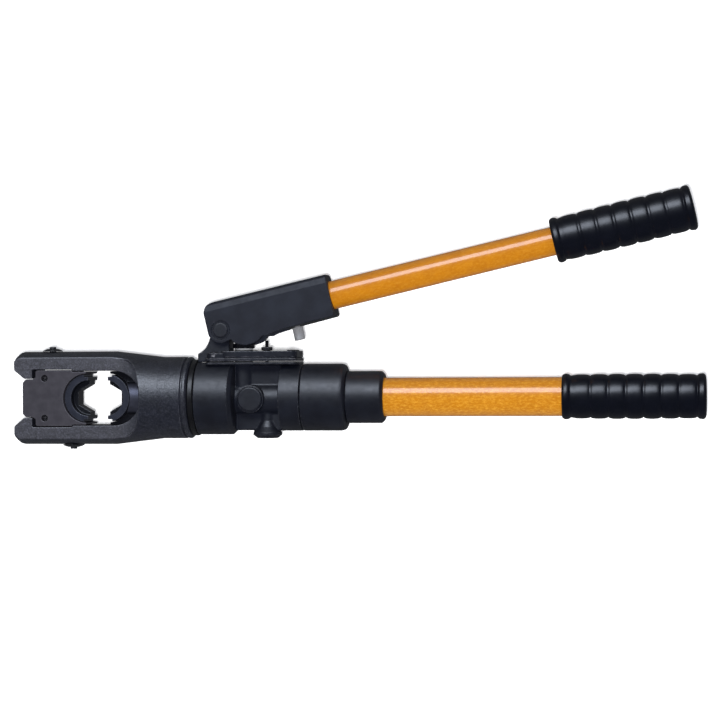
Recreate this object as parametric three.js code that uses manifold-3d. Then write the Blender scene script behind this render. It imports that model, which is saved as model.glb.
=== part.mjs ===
// A hand-operated hydraulic crimping tool, lying on its side. Every size is in millimetres.
// X runs from the head (-X) to the grips (+X), Y points towards the moving handle and Z is up.
// The solids are drawn about the tool's own axis, then lifted so that Z = 0 is the tool's lowest point.
import * as THREE from "three";
import { mergeVertices } from "three/addons/utils/BufferGeometryUtils.js";
import Module from "manifold-3d";

// ---- placing: from the tool's axis to the middle of the base of its bounding box
const BASE_OFFSET = [4, -67.84, 38.04];
const GAP = 0.3;

// ---- head
const HEAD_END = -308.9;
const ARM_R = 41.4;
const NECK_R = 36.2;
const HEAD_REAR = -149.2;
const ARM_HALF_THICK = 20;
const FLAT_ARC = { x: -228.1, r: 37.3 };
const HOOK_FACE = -292.1;
const HOOK_TIP_Y = 17.4;
const BLOCK_END = -242.9;
const BLOCK_STEP = -255.4;
const BLOCK_POCKET_Y = 25.5;
const SLOT_HALF = 24.1;
const SLOT_ROUND = -217.9;
const BLOCK_SCREW_X = -280.8;
const BLOCK_SCREW_Y = 17.7;
const LATCHES = [
  { name: "upper", x: -278.5, side: 1, domeR: 9 },
  { name: "lower", x: -259.5, side: -1, domeR: 9.6 },
];
const LATCH_PIN_R = 3;
const LATCH_BORE_R = 4.6;
const LATCH_BORE_FLOOR = 29;

// ---- dies, a pair that meet across a gap as long as the ram's stroke
const DIE_R = 21.5;
const DIE_HALF_THICK = 16;
const FIXED_OFFSET = 0;
const MOVING_OFFSET = 2;
const DIE_BORE_R = 15.7;
const DIE_RIDGE_HALF = 8.2;
const DIE_FLATS = 21.2;
const DIE_NOTCH = [4, 18.9];
const FIXED_FACE = -241.9;
const MOVING_FACE = -224;

// ---- ram and cylinder
const RAM_R = 16.1;
const SADDLE_HALF_THICK = 8;
const CYLINDER_R = 29;
const BORE_R = 23;
const CYLINDER_FRONT = -180;
const CYLINDER_REAR = -128;
const CYLINDER_REAR_R = 27;
const PISTON_FRONT = -146;
const PISTON_REAR = -133;
const BUSH_FRONT = -193.4;
const BUSH_R = 20;
const SNAP_X = -165;
const SNAP_OUTER_R = 30.6;

// ---- pump body
const COLLAR_FRONT = -143.7;
const COLLAR_R = 32.8;
const BODY_R = 29.5;
const BODY_REAR = -50;
const WEB_FRONT = -110.2;
const WEB_REAR = -69;
const UPPER_WEB_HALF = 7;
const LOWER_WEB_HALF = 4.6;
const CORE_Y = -1.1;
const CORE_R = 13.9;
const SPIGOT_R = 20;
const SPIGOT_END = -37.5;
const PAD_TOP = 31.1;
const PAD_HALF = 21;
const PAD_THICK = 1.8;
const PAD_REAR = -53;
const COVER_TOP = 41;
const PLUNGER_X = -103.9;
const PLUNGER_R = 8;
const COLLAR_SLEEVE_R = 9.7;
const VALVE_X = -95.5;
const VALVE_Y = -1.3;
const LOWER_VALVE_X = -82.7;
const RELEASE_X = -83.2;
const RELEASE_PIN_R = 1.5;
const RELEASE_BORE_R = 3.2;
const RELEASE_BORE_FLOOR = 12;
const GLAND_R = 12.8;
const BRACKET_HALF = 11;
const BRACKET_REAR = -115;
const BRACKET_EAR_R = 8.9;
const COVER_SCREWS = [
  { x: -127.5, z: -15.8, top: 40 },
  { x: -127.5, z: 15.8, top: 40 },
  { x: -59.5, z: -14.5, top: 41.9 },
  { x: -59.5, z: 14.5, top: 41.9 },
];

// ---- reservoir and fixed handle
const CAP_REAR = -11;
const CAP_BORE_R = 24.9;
const SOCKET_SPIGOT_R = 20;
const BLADDER_FINGER_R = 13;
const SOCKET_R = 22.9;
const SOCKET_REAR = 22.2;
const TUBE_R = 17;
const GRIP_START = 177.1;

// ---- moving handle, drawn along its own axis from the pivot
const PIVOT = [-121.5, 59.5];
const HANDLE_TILT = THREE.MathUtils.degToRad(13.09);
const LEVER_HALF = 18;
const LEVER_CAVITY_HALF = 11.7;
const LEVER_EAR_R = 11.5;
const LEVER_TOP = 26.4;
const LEVER_END = 101.5;
const SOCKET_FLOOR = 61;
const PIVOT_PIN_R = 5;
const STUD_XI = 64.6;
const STUD_SHANK_R = 2.5;
const LEVER_TUBE_ETA = 7.5;
const LEVER_TUBE_R = 12.5;
const LEVER_GRIP_START = 301.3;
const DRIVE_PIN_ARM = [17.6, -5.6];
const DRIVE_PIN_R = 3.5;

// ---- grips
const GRIP_SEGMENTS = 7;
const SEGMENT_LENGTH = 15.2;
const GRIP_FLANGE = 9.2;
const GRIP_LENGTH = 123.8;
const GRIP_DEPTH = 112.5;

// ---- sides of a round piece: over 24 mm in radius, from 9 to 24 mm, and smaller
const FINE = 26;
const MEDIUM = 18;
const COARSE = 12;
const HEX = 6;

const wasm = await Module();
wasm.setup();

// ---------------------------------------------------------------- solids

function toSolid(geometry) {
  const bare = geometry.index ? geometry.toNonIndexed() : geometry.clone();
  bare.deleteAttribute("normal");
  bare.deleteAttribute("uv");
  const merged = mergeVertices(bare, 1e-4);
  const corners = merged.index.array;
  const triVerts = [];
  for (let i = 0; i < corners.length; i += 3) {
    const [a, b, c] = [corners[i], corners[i + 1], corners[i + 2]];
    if (a !== b && b !== c && c !== a) triVerts.push(a, b, c);
  }
  return new wasm.Manifold(
    new wasm.Mesh({
      numProp: 3,
      vertProperties: merged.attributes.position.array,
      triVerts: new Uint32Array(triVerts),
    }),
  );
}

// A profile of [distance along the axis, radius] points, turned about X, Y or Z.
function turned(profile, sides, axis = "x", centre = [0, 0, 0]) {
  const points = profile.map(([along, radius]) => new THREE.Vector2(radius, along));
  const geometry = new THREE.LatheGeometry(points, sides);
  if (axis === "x") geometry.rotateZ(-Math.PI / 2);
  if (axis === "z") geometry.rotateX(Math.PI / 2);
  geometry.translate(...centre);
  return toSolid(geometry);
}

function rod(radius, from, to, sides, axis, centre) {
  return turned([[from, 0], [from, radius], [to, radius], [to, 0]], sides, axis, centre);
}

function ring(inner, outer, from, to, sides, axis, centre) {
  const section = [[from, inner], [from, outer], [to, outer], [to, inner], [from, inner]];
  return turned(section, sides, axis, centre);
}

function box(x0, x1, y0, y1, z0, z1) {
  const geometry = new THREE.BoxGeometry(x1 - x0, y1 - y0, z1 - z0);
  geometry.translate((x0 + x1) / 2, (y0 + y1) / 2, (z0 + z1) / 2);
  return toSolid(geometry);
}

// An outline in the XY plane, extruded along Z.
function slab(shape, from, to, curveSegments = 8) {
  const geometry = new THREE.ExtrudeGeometry(shape, {
    depth: to - from,
    bevelEnabled: false,
    curveSegments,
  });
  geometry.translate(0, 0, from);
  return toSolid(geometry);
}

// An outline in the XZ plane, extruded along Y.
function deck(shape, from, to, curveSegments = 6) {
  const geometry = new THREE.ExtrudeGeometry(shape, {
    depth: to - from,
    bevelEnabled: false,
    curveSegments,
  });
  geometry.rotateX(-Math.PI / 2);
  geometry.translate(0, from, 0);
  return toSolid(geometry);
}

function polygon(points) {
  return new THREE.Shape(points.map(([x, y]) => new THREE.Vector2(x, y)));
}

function roundedRectangle(x0, x1, y0, y1, r) {
  const shape = new THREE.Shape();
  shape.moveTo(x0 + r, y0);
  shape.lineTo(x1 - r, y0);
  shape.absarc(x1 - r, y0 + r, r, -Math.PI / 2, 0);
  shape.lineTo(x1, y1 - r);
  shape.absarc(x1 - r, y1 - r, r, 0, Math.PI / 2);
  shape.lineTo(x0 + r, y1);
  shape.absarc(x0 + r, y1 - r, r, Math.PI / 2, Math.PI);
  shape.lineTo(x0, y0 + r);
  shape.absarc(x0 + r, y0 + r, r, Math.PI, 1.5 * Math.PI);
  return shape;
}

class Helix extends THREE.Curve {
  constructor(radius, from, to, turns) {
    super();
    Object.assign(this, { radius, from, to, turns });
  }

  getPoint(t, target = new THREE.Vector3()) {
    const angle = 2 * Math.PI * this.turns * t;
    const along = this.from + (this.to - this.from) * t;
    return target.set(along, this.radius * Math.cos(angle), this.radius * Math.sin(angle));
  }
}

// A coil spring round the X axis, or round the line through centre along Y.
function spring(radius, wire, from, to, turns, axis = "x", centre = [0, 0, 0]) {
  const section = new THREE.Shape();
  section.absarc(0, 0, wire, 0, 2 * Math.PI);
  const geometry = new THREE.ExtrudeGeometry(section, {
    steps: turns * 8,
    curveSegments: 2,
    bevelEnabled: false,
    extrudePath: new Helix(radius, from, to, turns),
  });
  if (axis === "y") geometry.rotateZ(Math.PI / 2);
  geometry.translate(...centre);
  return toSolid(geometry);
}

// ---------------------------------------------------------------- materials

const finish = (color, roughness, metalness) =>
  new THREE.MeshStandardMaterial({ color, roughness, metalness });
const castBlack = () => finish(0x2b2c33, 0.62, 0.3);
const satinBlack = () => finish(0x202129, 0.42, 0.2);
const satinBrown = () => finish(0x35332f, 0.5, 0.5);
const blueSteel = () => finish(0x30333d, 0.4, 0.7);
const brightSteel = () => finish(0xb9bcc2, 0.25, 1);
const darkSteel = () => finish(0x1c1d22, 0.4, 0.8);
const yellowFibre = () => finish(0xe39a1d, 0.3, 0);
const blackRubber = () => finish(0x101118, 0.35, 0);
const nitrile = () => finish(0x18181a, 0.7, 0);
const bronze = () => finish(0x8a6a3a, 0.4, 0.9);

function add(group, name, material, solid) {
  const data = solid.getMesh();
  const geometry = new THREE.BufferGeometry();
  geometry.setAttribute("position", new THREE.BufferAttribute(data.vertProperties, 3));
  geometry.setIndex(new THREE.BufferAttribute(data.triVerts, 1));
  geometry.computeVertexNormals();
  const mesh = new THREE.Mesh(geometry, material);
  mesh.name = name;
  group.add(mesh);
}

// ---------------------------------------------------------------- head

// The part of the yoke above each milled flat, from the open end to a round run-out.
function flatOutline() {
  const shape = new THREE.Shape();
  shape.moveTo(HEAD_END - 5, -ARM_R - 1);
  shape.lineTo(FLAT_ARC.x, -ARM_R - 1);
  shape.lineTo(FLAT_ARC.x, -FLAT_ARC.r);
  shape.absarc(FLAT_ARC.x, 0, FLAT_ARC.r, -Math.PI / 2, Math.PI / 2);
  shape.lineTo(FLAT_ARC.x, ARM_R + 1);
  shape.lineTo(HEAD_END - 5, ARM_R + 1);
  return shape;
}

// The window between the arms: open end, hooked block pocket, ram slot with a round end.
function yokeWindow() {
  const shape = new THREE.Shape();
  const lower = [
    [HEAD_END - 1, -HOOK_TIP_Y - 8.4],
    [HEAD_END + 9.2, -HOOK_TIP_Y],
    [HOOK_FACE, -HOOK_TIP_Y],
    [HOOK_FACE, -BLOCK_POCKET_Y],
    [BLOCK_STEP, -BLOCK_POCKET_Y],
    [BLOCK_STEP + 0.6, -SLOT_HALF],
    [SLOT_ROUND, -SLOT_HALF],
  ];
  shape.moveTo(...lower[0]);
  for (const point of lower.slice(1)) shape.lineTo(...point);
  shape.absarc(SLOT_ROUND, 0, SLOT_HALF, -Math.PI / 2, Math.PI / 2);
  for (const [x, y] of lower.slice(0, -1).reverse()) shape.lineTo(x, -y);
  return shape;
}

function yoke() {
  let body = turned(
    [
      [HEAD_END, 0],
      [HEAD_END, 38],
      [-305.5, 40.9],
      [-303.5, ARM_R],
      [-218.6, ARM_R],
      [-175.6, NECK_R],
      [-150.8, NECK_R],
      [HEAD_REAR, 34.4],
      [HEAD_REAR, 0],
    ],
    FINE + 8,
  );
  const above = slab(flatOutline(), ARM_HALF_THICK, ARM_R + 2, 10);
  body = body.subtract(above).subtract(above.mirror([0, 0, 1]));
  body = body.subtract(slab(yokeWindow(), -ARM_R - 2, ARM_R + 2, 10));
  body = body.subtract(rod(RAM_R + GAP, BUSH_FRONT - 16, CYLINDER_FRONT, MEDIUM));
  body = body.subtract(rod(BUSH_R + GAP, BUSH_FRONT - GAP, CYLINDER_FRONT, MEDIUM));
  body = body.subtract(rod(CYLINDER_R + GAP, CYLINDER_FRONT - GAP, HEAD_REAR + 1, FINE));
  body = body.subtract(rod(SNAP_OUTER_R + 0.4, SNAP_X - 1.7, SNAP_X + 1.7, FINE));
  for (const { x, side } of LATCHES) {
    const wide = rod(LATCH_BORE_R, LATCH_BORE_FLOOR, ARM_R + 5, COARSE, "y");
    const narrow = rod(LATCH_PIN_R + GAP, 20, 32, COARSE, "y");
    const bore = side > 0 ? wide.add(narrow) : wide.add(narrow).mirror([0, 1, 0]);
    body = body.subtract(bore.translate(x, 0, 0));
  }
  return body;
}

// The removable block that closes the yoke: a tongue between the hooks and a half-round die seat.
function dieBlock() {
  const tongueEnd = -300.8;
  const tongueHalf = 16.9;
  const shoulder = HOOK_FACE + 0.5;
  const half = BLOCK_POCKET_Y - GAP;
  const slotHalf = SLOT_HALF - GAP;
  const upper = [
    [tongueEnd, tongueHalf - 3],
    [tongueEnd + 3, tongueHalf],
    [shoulder, tongueHalf],
    [shoulder + 2.6, tongueHalf + 2],
    [shoulder + 2.6, half - 1.5],
    [shoulder + 4, half],
    [BLOCK_STEP - 0.5, half],
    [BLOCK_STEP, slotHalf],
    [BLOCK_END, slotHalf],
  ];
  const lower = upper.map(([x, y]) => [x, -y]).reverse();
  let body = slab(polygon([...upper, ...lower]), -ARM_HALF_THICK, ARM_HALF_THICK);
  body = body.subtract(dieCradle(FIXED_FACE + FIXED_OFFSET));
  for (const y of [-BLOCK_SCREW_Y, BLOCK_SCREW_Y])
    body = body.subtract(rod(2.9, 14.5, 25, COARSE, "z", [BLOCK_SCREW_X, y, 0]));
  return body;
}

// The round space that a die's back fits, right through the thickness.
function dieCradle(x) {
  return rod(DIE_R + GAP, -30, 30, FINE + 8, "z", [x, 0, 0]);
}

function blockScrew(y) {
  const place = [BLOCK_SCREW_X, y, 0];
  return rod(2.6, 14.8, 19, COARSE, "z", place).subtract(rod(1.5, 17, 20, HEX, "z", place));
}

// One half of the hexagonal die. facing is +1 when the working face looks towards +X.
function die(face, facing, offset) {
  const at = (distance) => face + facing * distance;
  const arcCentre = [at(offset), 0, 0];
  const back = box(Math.min(face, at(-30)), Math.max(face, at(-30)), -30, 30, -30, 30);
  let body = rod(DIE_R, -DIE_HALF_THICK, DIE_HALF_THICK, FINE + 8, "z", arcCentre).intersect(back);
  const recess = rod(DIE_BORE_R, DIE_RIDGE_HALF, 30, MEDIUM + 6, "z", arcCentre);
  body = body.subtract(recess).subtract(recess.mirror([0, 0, 1]));
  const side = DIE_FLATS / Math.sqrt(3);
  const halfNest = [
    [1, side],
    [0, side],
    [-DIE_FLATS / 2, side / 2],
  ];
  const nest = [...halfNest, ...halfNest.map(([x, y]) => [x, -y]).reverse()];
  body = body.subtract(slab(polygon(nest.map(([x, y]) => [at(x), y])), -30, 30));
  const notch = box(-DIE_NOTCH[0], DIE_NOTCH[0], DIE_NOTCH[1], 25, -30, 30).translate(face, 0, 0);
  return body.subtract(notch).subtract(notch.mirror([0, 1, 0]));
}

// ---- the two spring latches in the arms, drawn for the upper arm and mirrored for the lower one

function latchBush({ x, side, domeR }) {
  const seat = ARM_R + GAP - 0.1;
  const section = [
    [seat, LATCH_PIN_R + GAP + 0.3],
    [seat, domeR],
    [seat + 0.6, domeR],
    [seat + 1.7, domeR - 2.4],
    [seat + 2.4, LATCH_PIN_R + 1.8],
    [seat + 2.4, LATCH_PIN_R + GAP + 0.3],
    [seat, LATCH_PIN_R + GAP + 0.3],
  ];
  return onSide(turned(section, MEDIUM, "y"), x, side);
}

function latchPin({ x, side }) {
  const top = 45.7;
  const pin = rod(LATCH_PIN_R, BLOCK_POCKET_Y + GAP, top, COARSE, "y");
  const collar = rod(LATCH_BORE_R - 0.4, LATCH_BORE_FLOOR + GAP, LATCH_BORE_FLOOR + 1.3, COARSE, "y");
  const slot = box(-5, 5, top - 1.2, top + 1, -0.7, 0.7);
  return onSide(pin.add(collar).subtract(slot), x, side);
}

function latchSpring({ x, side }) {
  return onSide(spring(3.85, 0.35, LATCH_BORE_FLOOR + 2, 41, 4, "y"), x, side);
}

function onSide(solid, x, side) {
  const turnedOver = side > 0 ? solid : solid.mirror([0, 1, 0]);
  return turnedOver.translate(x, 0, 0);
}

// The ram: a round rod with a flat saddle that cradles the moving die.
function ram() {
  const saddleRound = SLOT_ROUND - 0.4;
  const half = SLOT_HALF - GAP;
  const front = MOVING_FACE + 0.1;
  const shape = new THREE.Shape();
  shape.moveTo(front, -half);
  shape.lineTo(saddleRound, -half);
  shape.absarc(saddleRound, 0, half, -Math.PI / 2, Math.PI / 2);
  shape.lineTo(front, half);
  const saddle = slab(shape, -SADDLE_HALF_THICK, SADDLE_HALF_THICK, 8);
  const stem = rod(RAM_R, front, PISTON_FRONT - GAP, MEDIUM);
  return saddle.add(stem).subtract(dieCradle(MOVING_FACE - MOVING_OFFSET));
}

function piston() {
  const land = BORE_R - GAP;
  return turned(
    [
      [PISTON_FRONT, 0],
      [PISTON_FRONT, land],
      [PISTON_FRONT + 4.2, land],
      [PISTON_FRONT + 4.2, BORE_R - 3],
      [PISTON_FRONT + 8.4, BORE_R - 3],
      [PISTON_FRONT + 8.4, land],
      [PISTON_REAR, land],
      [PISTON_REAR, 0],
    ],
    FINE,
  );
}

function pistonSeal() {
  return ring(BORE_R - 2.7, BORE_R - GAP, PISTON_FRONT + 4.5, PISTON_FRONT + 8.1, FINE);
}

// ---------------------------------------------------------------- cylinder and pump body

function cylinder() {
  return turned(
    [
      [CYLINDER_FRONT, BORE_R],
      [CYLINDER_FRONT, CYLINDER_R],
      [SNAP_X - 1.6, CYLINDER_R],
      [SNAP_X - 1.6, SNAP_OUTER_R - 3.2],
      [SNAP_X + 1.6, SNAP_OUTER_R - 3.2],
      [SNAP_X + 1.6, CYLINDER_R],
      [COLLAR_FRONT - GAP, CYLINDER_R],
      [COLLAR_FRONT - GAP, CYLINDER_REAR_R],
      [CYLINDER_REAR, CYLINDER_REAR_R],
      [CYLINDER_REAR, BORE_R],
      [CYLINDER_FRONT, BORE_R],
    ],
    FINE,
  );
}

// The washer inside the cylinder's front end, which the return spring pushes against.
function springSeat() {
  return ring(RAM_R + GAP, BORE_R - GAP, CYLINDER_FRONT + 0.6, CYLINDER_FRONT + 4.6, FINE);
}

function pumpBody() {
  let body = turned(
    [
      [COLLAR_FRONT, 0],
      [COLLAR_FRONT, COLLAR_R - 1.4],
      [COLLAR_FRONT + 1.4, COLLAR_R],
      [-113.4, COLLAR_R],
      [WEB_FRONT, BODY_R],
      [WEB_FRONT, 0],
    ],
    FINE,
  );
  const web = rod(BODY_R - GAP, WEB_FRONT - 1, WEB_REAR + 1, FINE);
  body = body.add(web.intersect(box(-150, 0, 0, 40, -UPPER_WEB_HALF, UPPER_WEB_HALF)));
  body = body.add(web.intersect(box(-150, 0, -40, 1, -LOWER_WEB_HALF, LOWER_WEB_HALF)));
  body = body.add(rod(CORE_R, WEB_FRONT - 1, WEB_REAR + 1, MEDIUM, "x", [0, CORE_Y, 0]));
  body = body.add(rod(10.6, 5, PAD_TOP - 1, MEDIUM, "y", [PLUNGER_X, 0, 0]));
  const rearEnd = BODY_REAR - GAP;
  const rearCollar = [
    [WEB_REAR, 0],
    [WEB_REAR, BODY_R - 1.1],
    [WEB_REAR + 1, BODY_R],
    [rearEnd, BODY_R],
    [rearEnd, CAP_BORE_R - GAP],
    [rearEnd + 6, CAP_BORE_R - GAP],
    [rearEnd + 6, SPIGOT_R],
    [SPIGOT_END, SPIGOT_R],
    [SPIGOT_END, 0],
  ];
  body = body.add(turned(rearCollar, FINE));
  body = body.add(rod(12.1, -17, 17, MEDIUM, "z", [VALVE_X, VALVE_Y, 0]));
  body = body.add(turned(LOWER_BOSS, MEDIUM, "y", [LOWER_VALVE_X, 0, 0]));
  body = body.subtract(box(-150, BODY_REAR, PAD_TOP, 40, -30, 30));
  body = body.add(deck(padOutline(0), PAD_TOP - PAD_THICK, PAD_TOP));
  return body.subtract(pumpBores());
}

const LOWER_BOSS = [
  [-36, 0],
  [-35.6, 9.6],
  [-33, 12.8],
  [-31, 12.8],
  [-26, 8.8],
  [-20.4, 6.5],
  [-10, 6.5],
  [-10, 0],
];

function padOutline(inset) {
  return roundedRectangle(-135.6 + inset, PAD_REAR - inset, -PAD_HALF + inset, PAD_HALF - inset, 5);
}

// The seat of the cylinder, the plunger's bore, the oil ways and the three valve pockets.
function pumpBores() {
  const plunger = [PLUNGER_X, 0, 0];
  const lower = [LOWER_VALVE_X, 0, 0];
  return rod(CYLINDER_REAR_R + GAP, COLLAR_FRONT - 1, CYLINDER_REAR + GAP, FINE)
    .add(rod(PLUNGER_R + GAP, 8, PAD_TOP + 5, MEDIUM, "y", plunger))
    .add(rod(2.2, -1, 9, COARSE, "y", plunger))
    .add(rod(2.2, CYLINDER_REAR - 2, PLUNGER_X + 1, COARSE))
    .add(rod(7.3, 9, 22, COARSE, "z", [VALVE_X, VALVE_Y, 0]))
    .add(rod(4.3, -30, -12, COARSE, "y", lower))
    .add(rod(5.6, -40, -29.6, COARSE, "y", lower))
    .add(rod(RELEASE_BORE_R, RELEASE_BORE_FLOOR, PAD_TOP + 5, COARSE, "y", [RELEASE_X, 0, 0]));
}

function valvePlug() {
  const place = [VALVE_X, VALVE_Y, 0];
  const cap = turned([[17.3, 0], [17.3, 10.9], [19.2, 10.9], [20, 10], [20, 0]], MEDIUM, "z", place);
  return cap.add(rod(7, 15.5, 17.4, COARSE, "z", place));
}

function lowerPlug() {
  const place = [LOWER_VALVE_X, 0, 0];
  return rod(5.3, -35.4, -29.9, COARSE, "y", place).subtract(rod(2.4, -36, -32.5, HEX, "y", place));
}

function ball(radius, x, y, z) {
  const geometry = new THREE.SphereGeometry(radius, 8, 6);
  geometry.translate(x, y, z);
  return toSolid(geometry);
}

// ---------------------------------------------------------------- cover, bracket and pump drive

// What the cover and its gasket leave open: the bracket's slot, the plunger and the release pin.
function coverOpenings() {
  return box(-140, BRACKET_REAR + 0.5, 28, 45, -BRACKET_HALF - GAP, BRACKET_HALF + GAP)
    .add(rod(9.6, 28, 45, MEDIUM, "y", [PLUNGER_X, 0, 0]))
    .add(rod(3.6, 28, 45, COARSE, "y", [RELEASE_X, 0, 0]));
}

function gasket() {
  return deck(padOutline(0.4), PAD_TOP + 0.1, PAD_TOP + 0.7).subtract(coverOpenings());
}

function cover() {
  const base = PAD_TOP + 1;
  const raised = roundedRectangle(-121.5, PAD_REAR, -PAD_HALF, PAD_HALF, 6);
  let body = deck(padOutline(0), base, COVER_TOP - 1.8).add(deck(raised, base + 1, COVER_TOP));
  body = body.subtract(coverOpenings());
  body = body.subtract(rod(GLAND_R + 0.4, 38, 45, MEDIUM, "y", [PLUNGER_X, 0, 0]));
  for (const { x, z } of COVER_SCREWS)
    body = body.subtract(rod(3.4, 36, 45, COARSE, "y", [x, 0, z]));
  return body;
}

function coverScrew({ x, z, top }) {
  const head = rod(3, 36.3, top, COARSE, "y", [x, 0, z]);
  return head.subtract(rod(1.6, top - 1.8, top + 1, HEX, "y", [x, 0, z]));
}

// The pivot bracket: a foot on the collar that sweeps up to an ear round the pivot pin.
function pivotBracket() {
  const shape = new THREE.Shape();
  const [px, py] = PIVOT;
  shape.moveTo(-143.3, PAD_TOP + GAP);
  shape.lineTo(BRACKET_REAR, PAD_TOP + GAP);
  shape.lineTo(BRACKET_REAR, py - 5.7);
  shape.absarc(px, py, BRACKET_EAR_R, -0.7, Math.PI, false);
  shape.lineTo(-132.2, 54);
  shape.quadraticCurveTo(-134.6, 44.2, -140, 40.4);
  shape.lineTo(-143.3, 38.8);
  let body = slab(shape, -BRACKET_HALF, BRACKET_HALF, 8);
  const glandRoom = rod(GLAND_R + 0.4, 37.9, 43.6, MEDIUM, "y", [PLUNGER_X, 0, 0]);
  const sleeveRoom = rod(COLLAR_SLEEVE_R + 0.5, 43, 75, MEDIUM, "y", [PLUNGER_X, 0, 0]);
  body = body.subtract(rod(PIVOT_PIN_R + GAP, -20, 20, COARSE, "z", [px, py, 0]));
  return body.subtract(glandRoom).subtract(sleeveRoom);
}

function glandNut() {
  const bore = PLUNGER_R + GAP;
  const section = [
    [38.3, bore],
    [38.3, GLAND_R],
    [41, GLAND_R],
    [41.6, GLAND_R - 0.6],
    [41.6, bore],
    [38.3, bore],
  ];
  return turned(section, MEDIUM, "y", [PLUNGER_X, 0, 0]);
}

// A black sleeve pressed on the plunger under its head.
function plungerCollar() {
  return ring(PLUNGER_R + 0.05, COLLAR_SLEEVE_R, 43.4, 47.6, MEDIUM, "y", [PLUNGER_X, 0, 0]);
}

function plungerSeal() {
  return ring(PLUNGER_R + GAP, 9.3, 33, 37.6, MEDIUM, "y", [PLUNGER_X, 0, 0]);
}

function reliefSpring() {
  return spring(3, 0.5, -29.2, -19.6, 4, "y", [LOWER_VALVE_X, 0, 0]);
}

function releaseSpring() {
  return spring(2.3, 0.35, RELEASE_BORE_FLOOR + 0.7, 26.7, 5, "y", [RELEASE_X, 0, 0]);
}

// The plunger: its head has a cross slot, along X, for the drive pin of the moving handle.
function plunger() {
  const pinY = PIVOT[1] + DRIVE_PIN_ARM[1];
  const profile = [
    [12, 0],
    [12, PLUNGER_R - 1],
    [13, PLUNGER_R],
    [60.4, PLUNGER_R],
    [61.2, PLUNGER_R - 1],
    [61.2, 0],
  ];
  const halfTravel = DRIVE_PIN_R + 1.6;
  const halfHeight = DRIVE_PIN_R + GAP;
  const slot = box(-halfTravel, halfTravel, pinY - halfHeight, pinY + halfHeight, -12, 12);
  return turned(profile, MEDIUM, "y").subtract(slot).translate(PLUNGER_X, 0, 0);
}

function releaseNut() {
  const place = [RELEASE_X, 0, 0];
  const nut = rod(5.05, COVER_TOP + 0.4, 44.5, HEX, "y", place).add(rod(3.1, 33, 41.6, COARSE, "y", place));
  return nut.subtract(rod(RELEASE_PIN_R + GAP, 30, 46, COARSE, "y", place));
}

function releasePin() {
  const profile = [
    [22, 0],
    [22, RELEASE_PIN_R],
    [27.4, RELEASE_PIN_R],
    [27.4, 2.7],
    [29, 2.7],
    [29, RELEASE_PIN_R],
    [49.8, RELEASE_PIN_R],
    [50.4, RELEASE_PIN_R - 0.5],
    [50.4, 0],
  ];
  return turned(profile, COARSE, "y", [RELEASE_X, 0, 0]);
}

// ---------------------------------------------------------------- reservoir and fixed handle

function reservoirCap() {
  const land = CAP_REAR - 7;
  return turned(
    [
      [BODY_REAR, CAP_BORE_R],
      [BODY_REAR, BODY_R - 0.6],
      [BODY_REAR + 0.8, BODY_R],
      [CAP_REAR - 4, BODY_R],
      [CAP_REAR - 1.2, BODY_R - 1.2],
      [CAP_REAR, BODY_R - 4],
      [CAP_REAR, SOCKET_SPIGOT_R + GAP],
      [land, SOCKET_SPIGOT_R + GAP],
      [land, CAP_BORE_R],
      [BODY_REAR, CAP_BORE_R],
    ],
    FINE,
  );
}

function handleSocket() {
  const front = CAP_REAR - 6.5;
  const shoulder = CAP_REAR + 3;
  return turned(
    [
      [front, BLADDER_FINGER_R + 2],
      [front, SOCKET_SPIGOT_R],
      [CAP_REAR + GAP, SOCKET_SPIGOT_R],
      [CAP_REAR + GAP, SOCKET_R],
      [SOCKET_REAR - 2.6, SOCKET_R],
      [SOCKET_REAR, SOCKET_R - 2.6],
      [SOCKET_REAR, TUBE_R + GAP],
      [shoulder, TUBE_R + GAP],
      [shoulder, BLADDER_FINGER_R + 2],
      [front, BLADDER_FINGER_R + 2],
    ],
    FINE,
  );
}

// The oil bladder: a wide mouth over the pump's rear spigot and a long finger inside the handle tube.
function oilBladder() {
  const outer = [
    [SPIGOT_END - 6.5, SPIGOT_R + 2],
    [-26, SPIGOT_R + 2],
    [-19.5, BLADDER_FINGER_R],
    [86, BLADDER_FINGER_R],
    [93, 8],
    [94, 0],
  ];
  const inner = [
    [92.5, 0],
    [91.6, 7],
    [85.4, BLADDER_FINGER_R - 1.4],
    [-20.2, BLADDER_FINGER_R - 1.4],
    [-26.8, SPIGOT_R + 0.6],
    [SPIGOT_END - 6.5, SPIGOT_R + 0.6],
  ];
  return turned([...outer, ...inner, outer[0]], MEDIUM);
}

function bladderClamp() {
  return ring(SPIGOT_R + 2.4, SPIGOT_R + 3.8, SPIGOT_END - 6, SPIGOT_END - 1.5, MEDIUM);
}

// A moulded grip: an open flange, barrel segments between shallow valleys, and a closed end flange.
function grip(start, boreR) {
  const valley = 18.4;
  const profile = [
    [start, boreR],
    [start, valley],
    [start + 1.2, 19.6],
    [start + 6.8, 19.6],
    [start + GRIP_FLANGE, valley],
  ];
  for (let i = 0; i < GRIP_SEGMENTS; i += 1) {
    const from = start + GRIP_FLANGE + i * SEGMENT_LENGTH;
    const crest = 19 + 0.5 * Math.sin((Math.PI * (i + 0.5)) / GRIP_SEGMENTS);
    profile.push([from + 0.25 * SEGMENT_LENGTH, crest]);
    profile.push([from + 0.75 * SEGMENT_LENGTH, crest]);
    profile.push([from + SEGMENT_LENGTH, valley]);
  }
  const end = start + GRIP_LENGTH;
  const floor = start + GRIP_DEPTH;
  profile.push([end - 6, 19.5], [end - 1.8, 19.5], [end, 17.6], [end, 0]);
  profile.push([floor, 0], [floor, boreR], [start, boreR]);
  return turned(profile, MEDIUM);
}

function tube(radius, wall, from, to) {
  return ring(radius - wall, radius, from, to, MEDIUM);
}

// ---------------------------------------------------------------- moving handle

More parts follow.
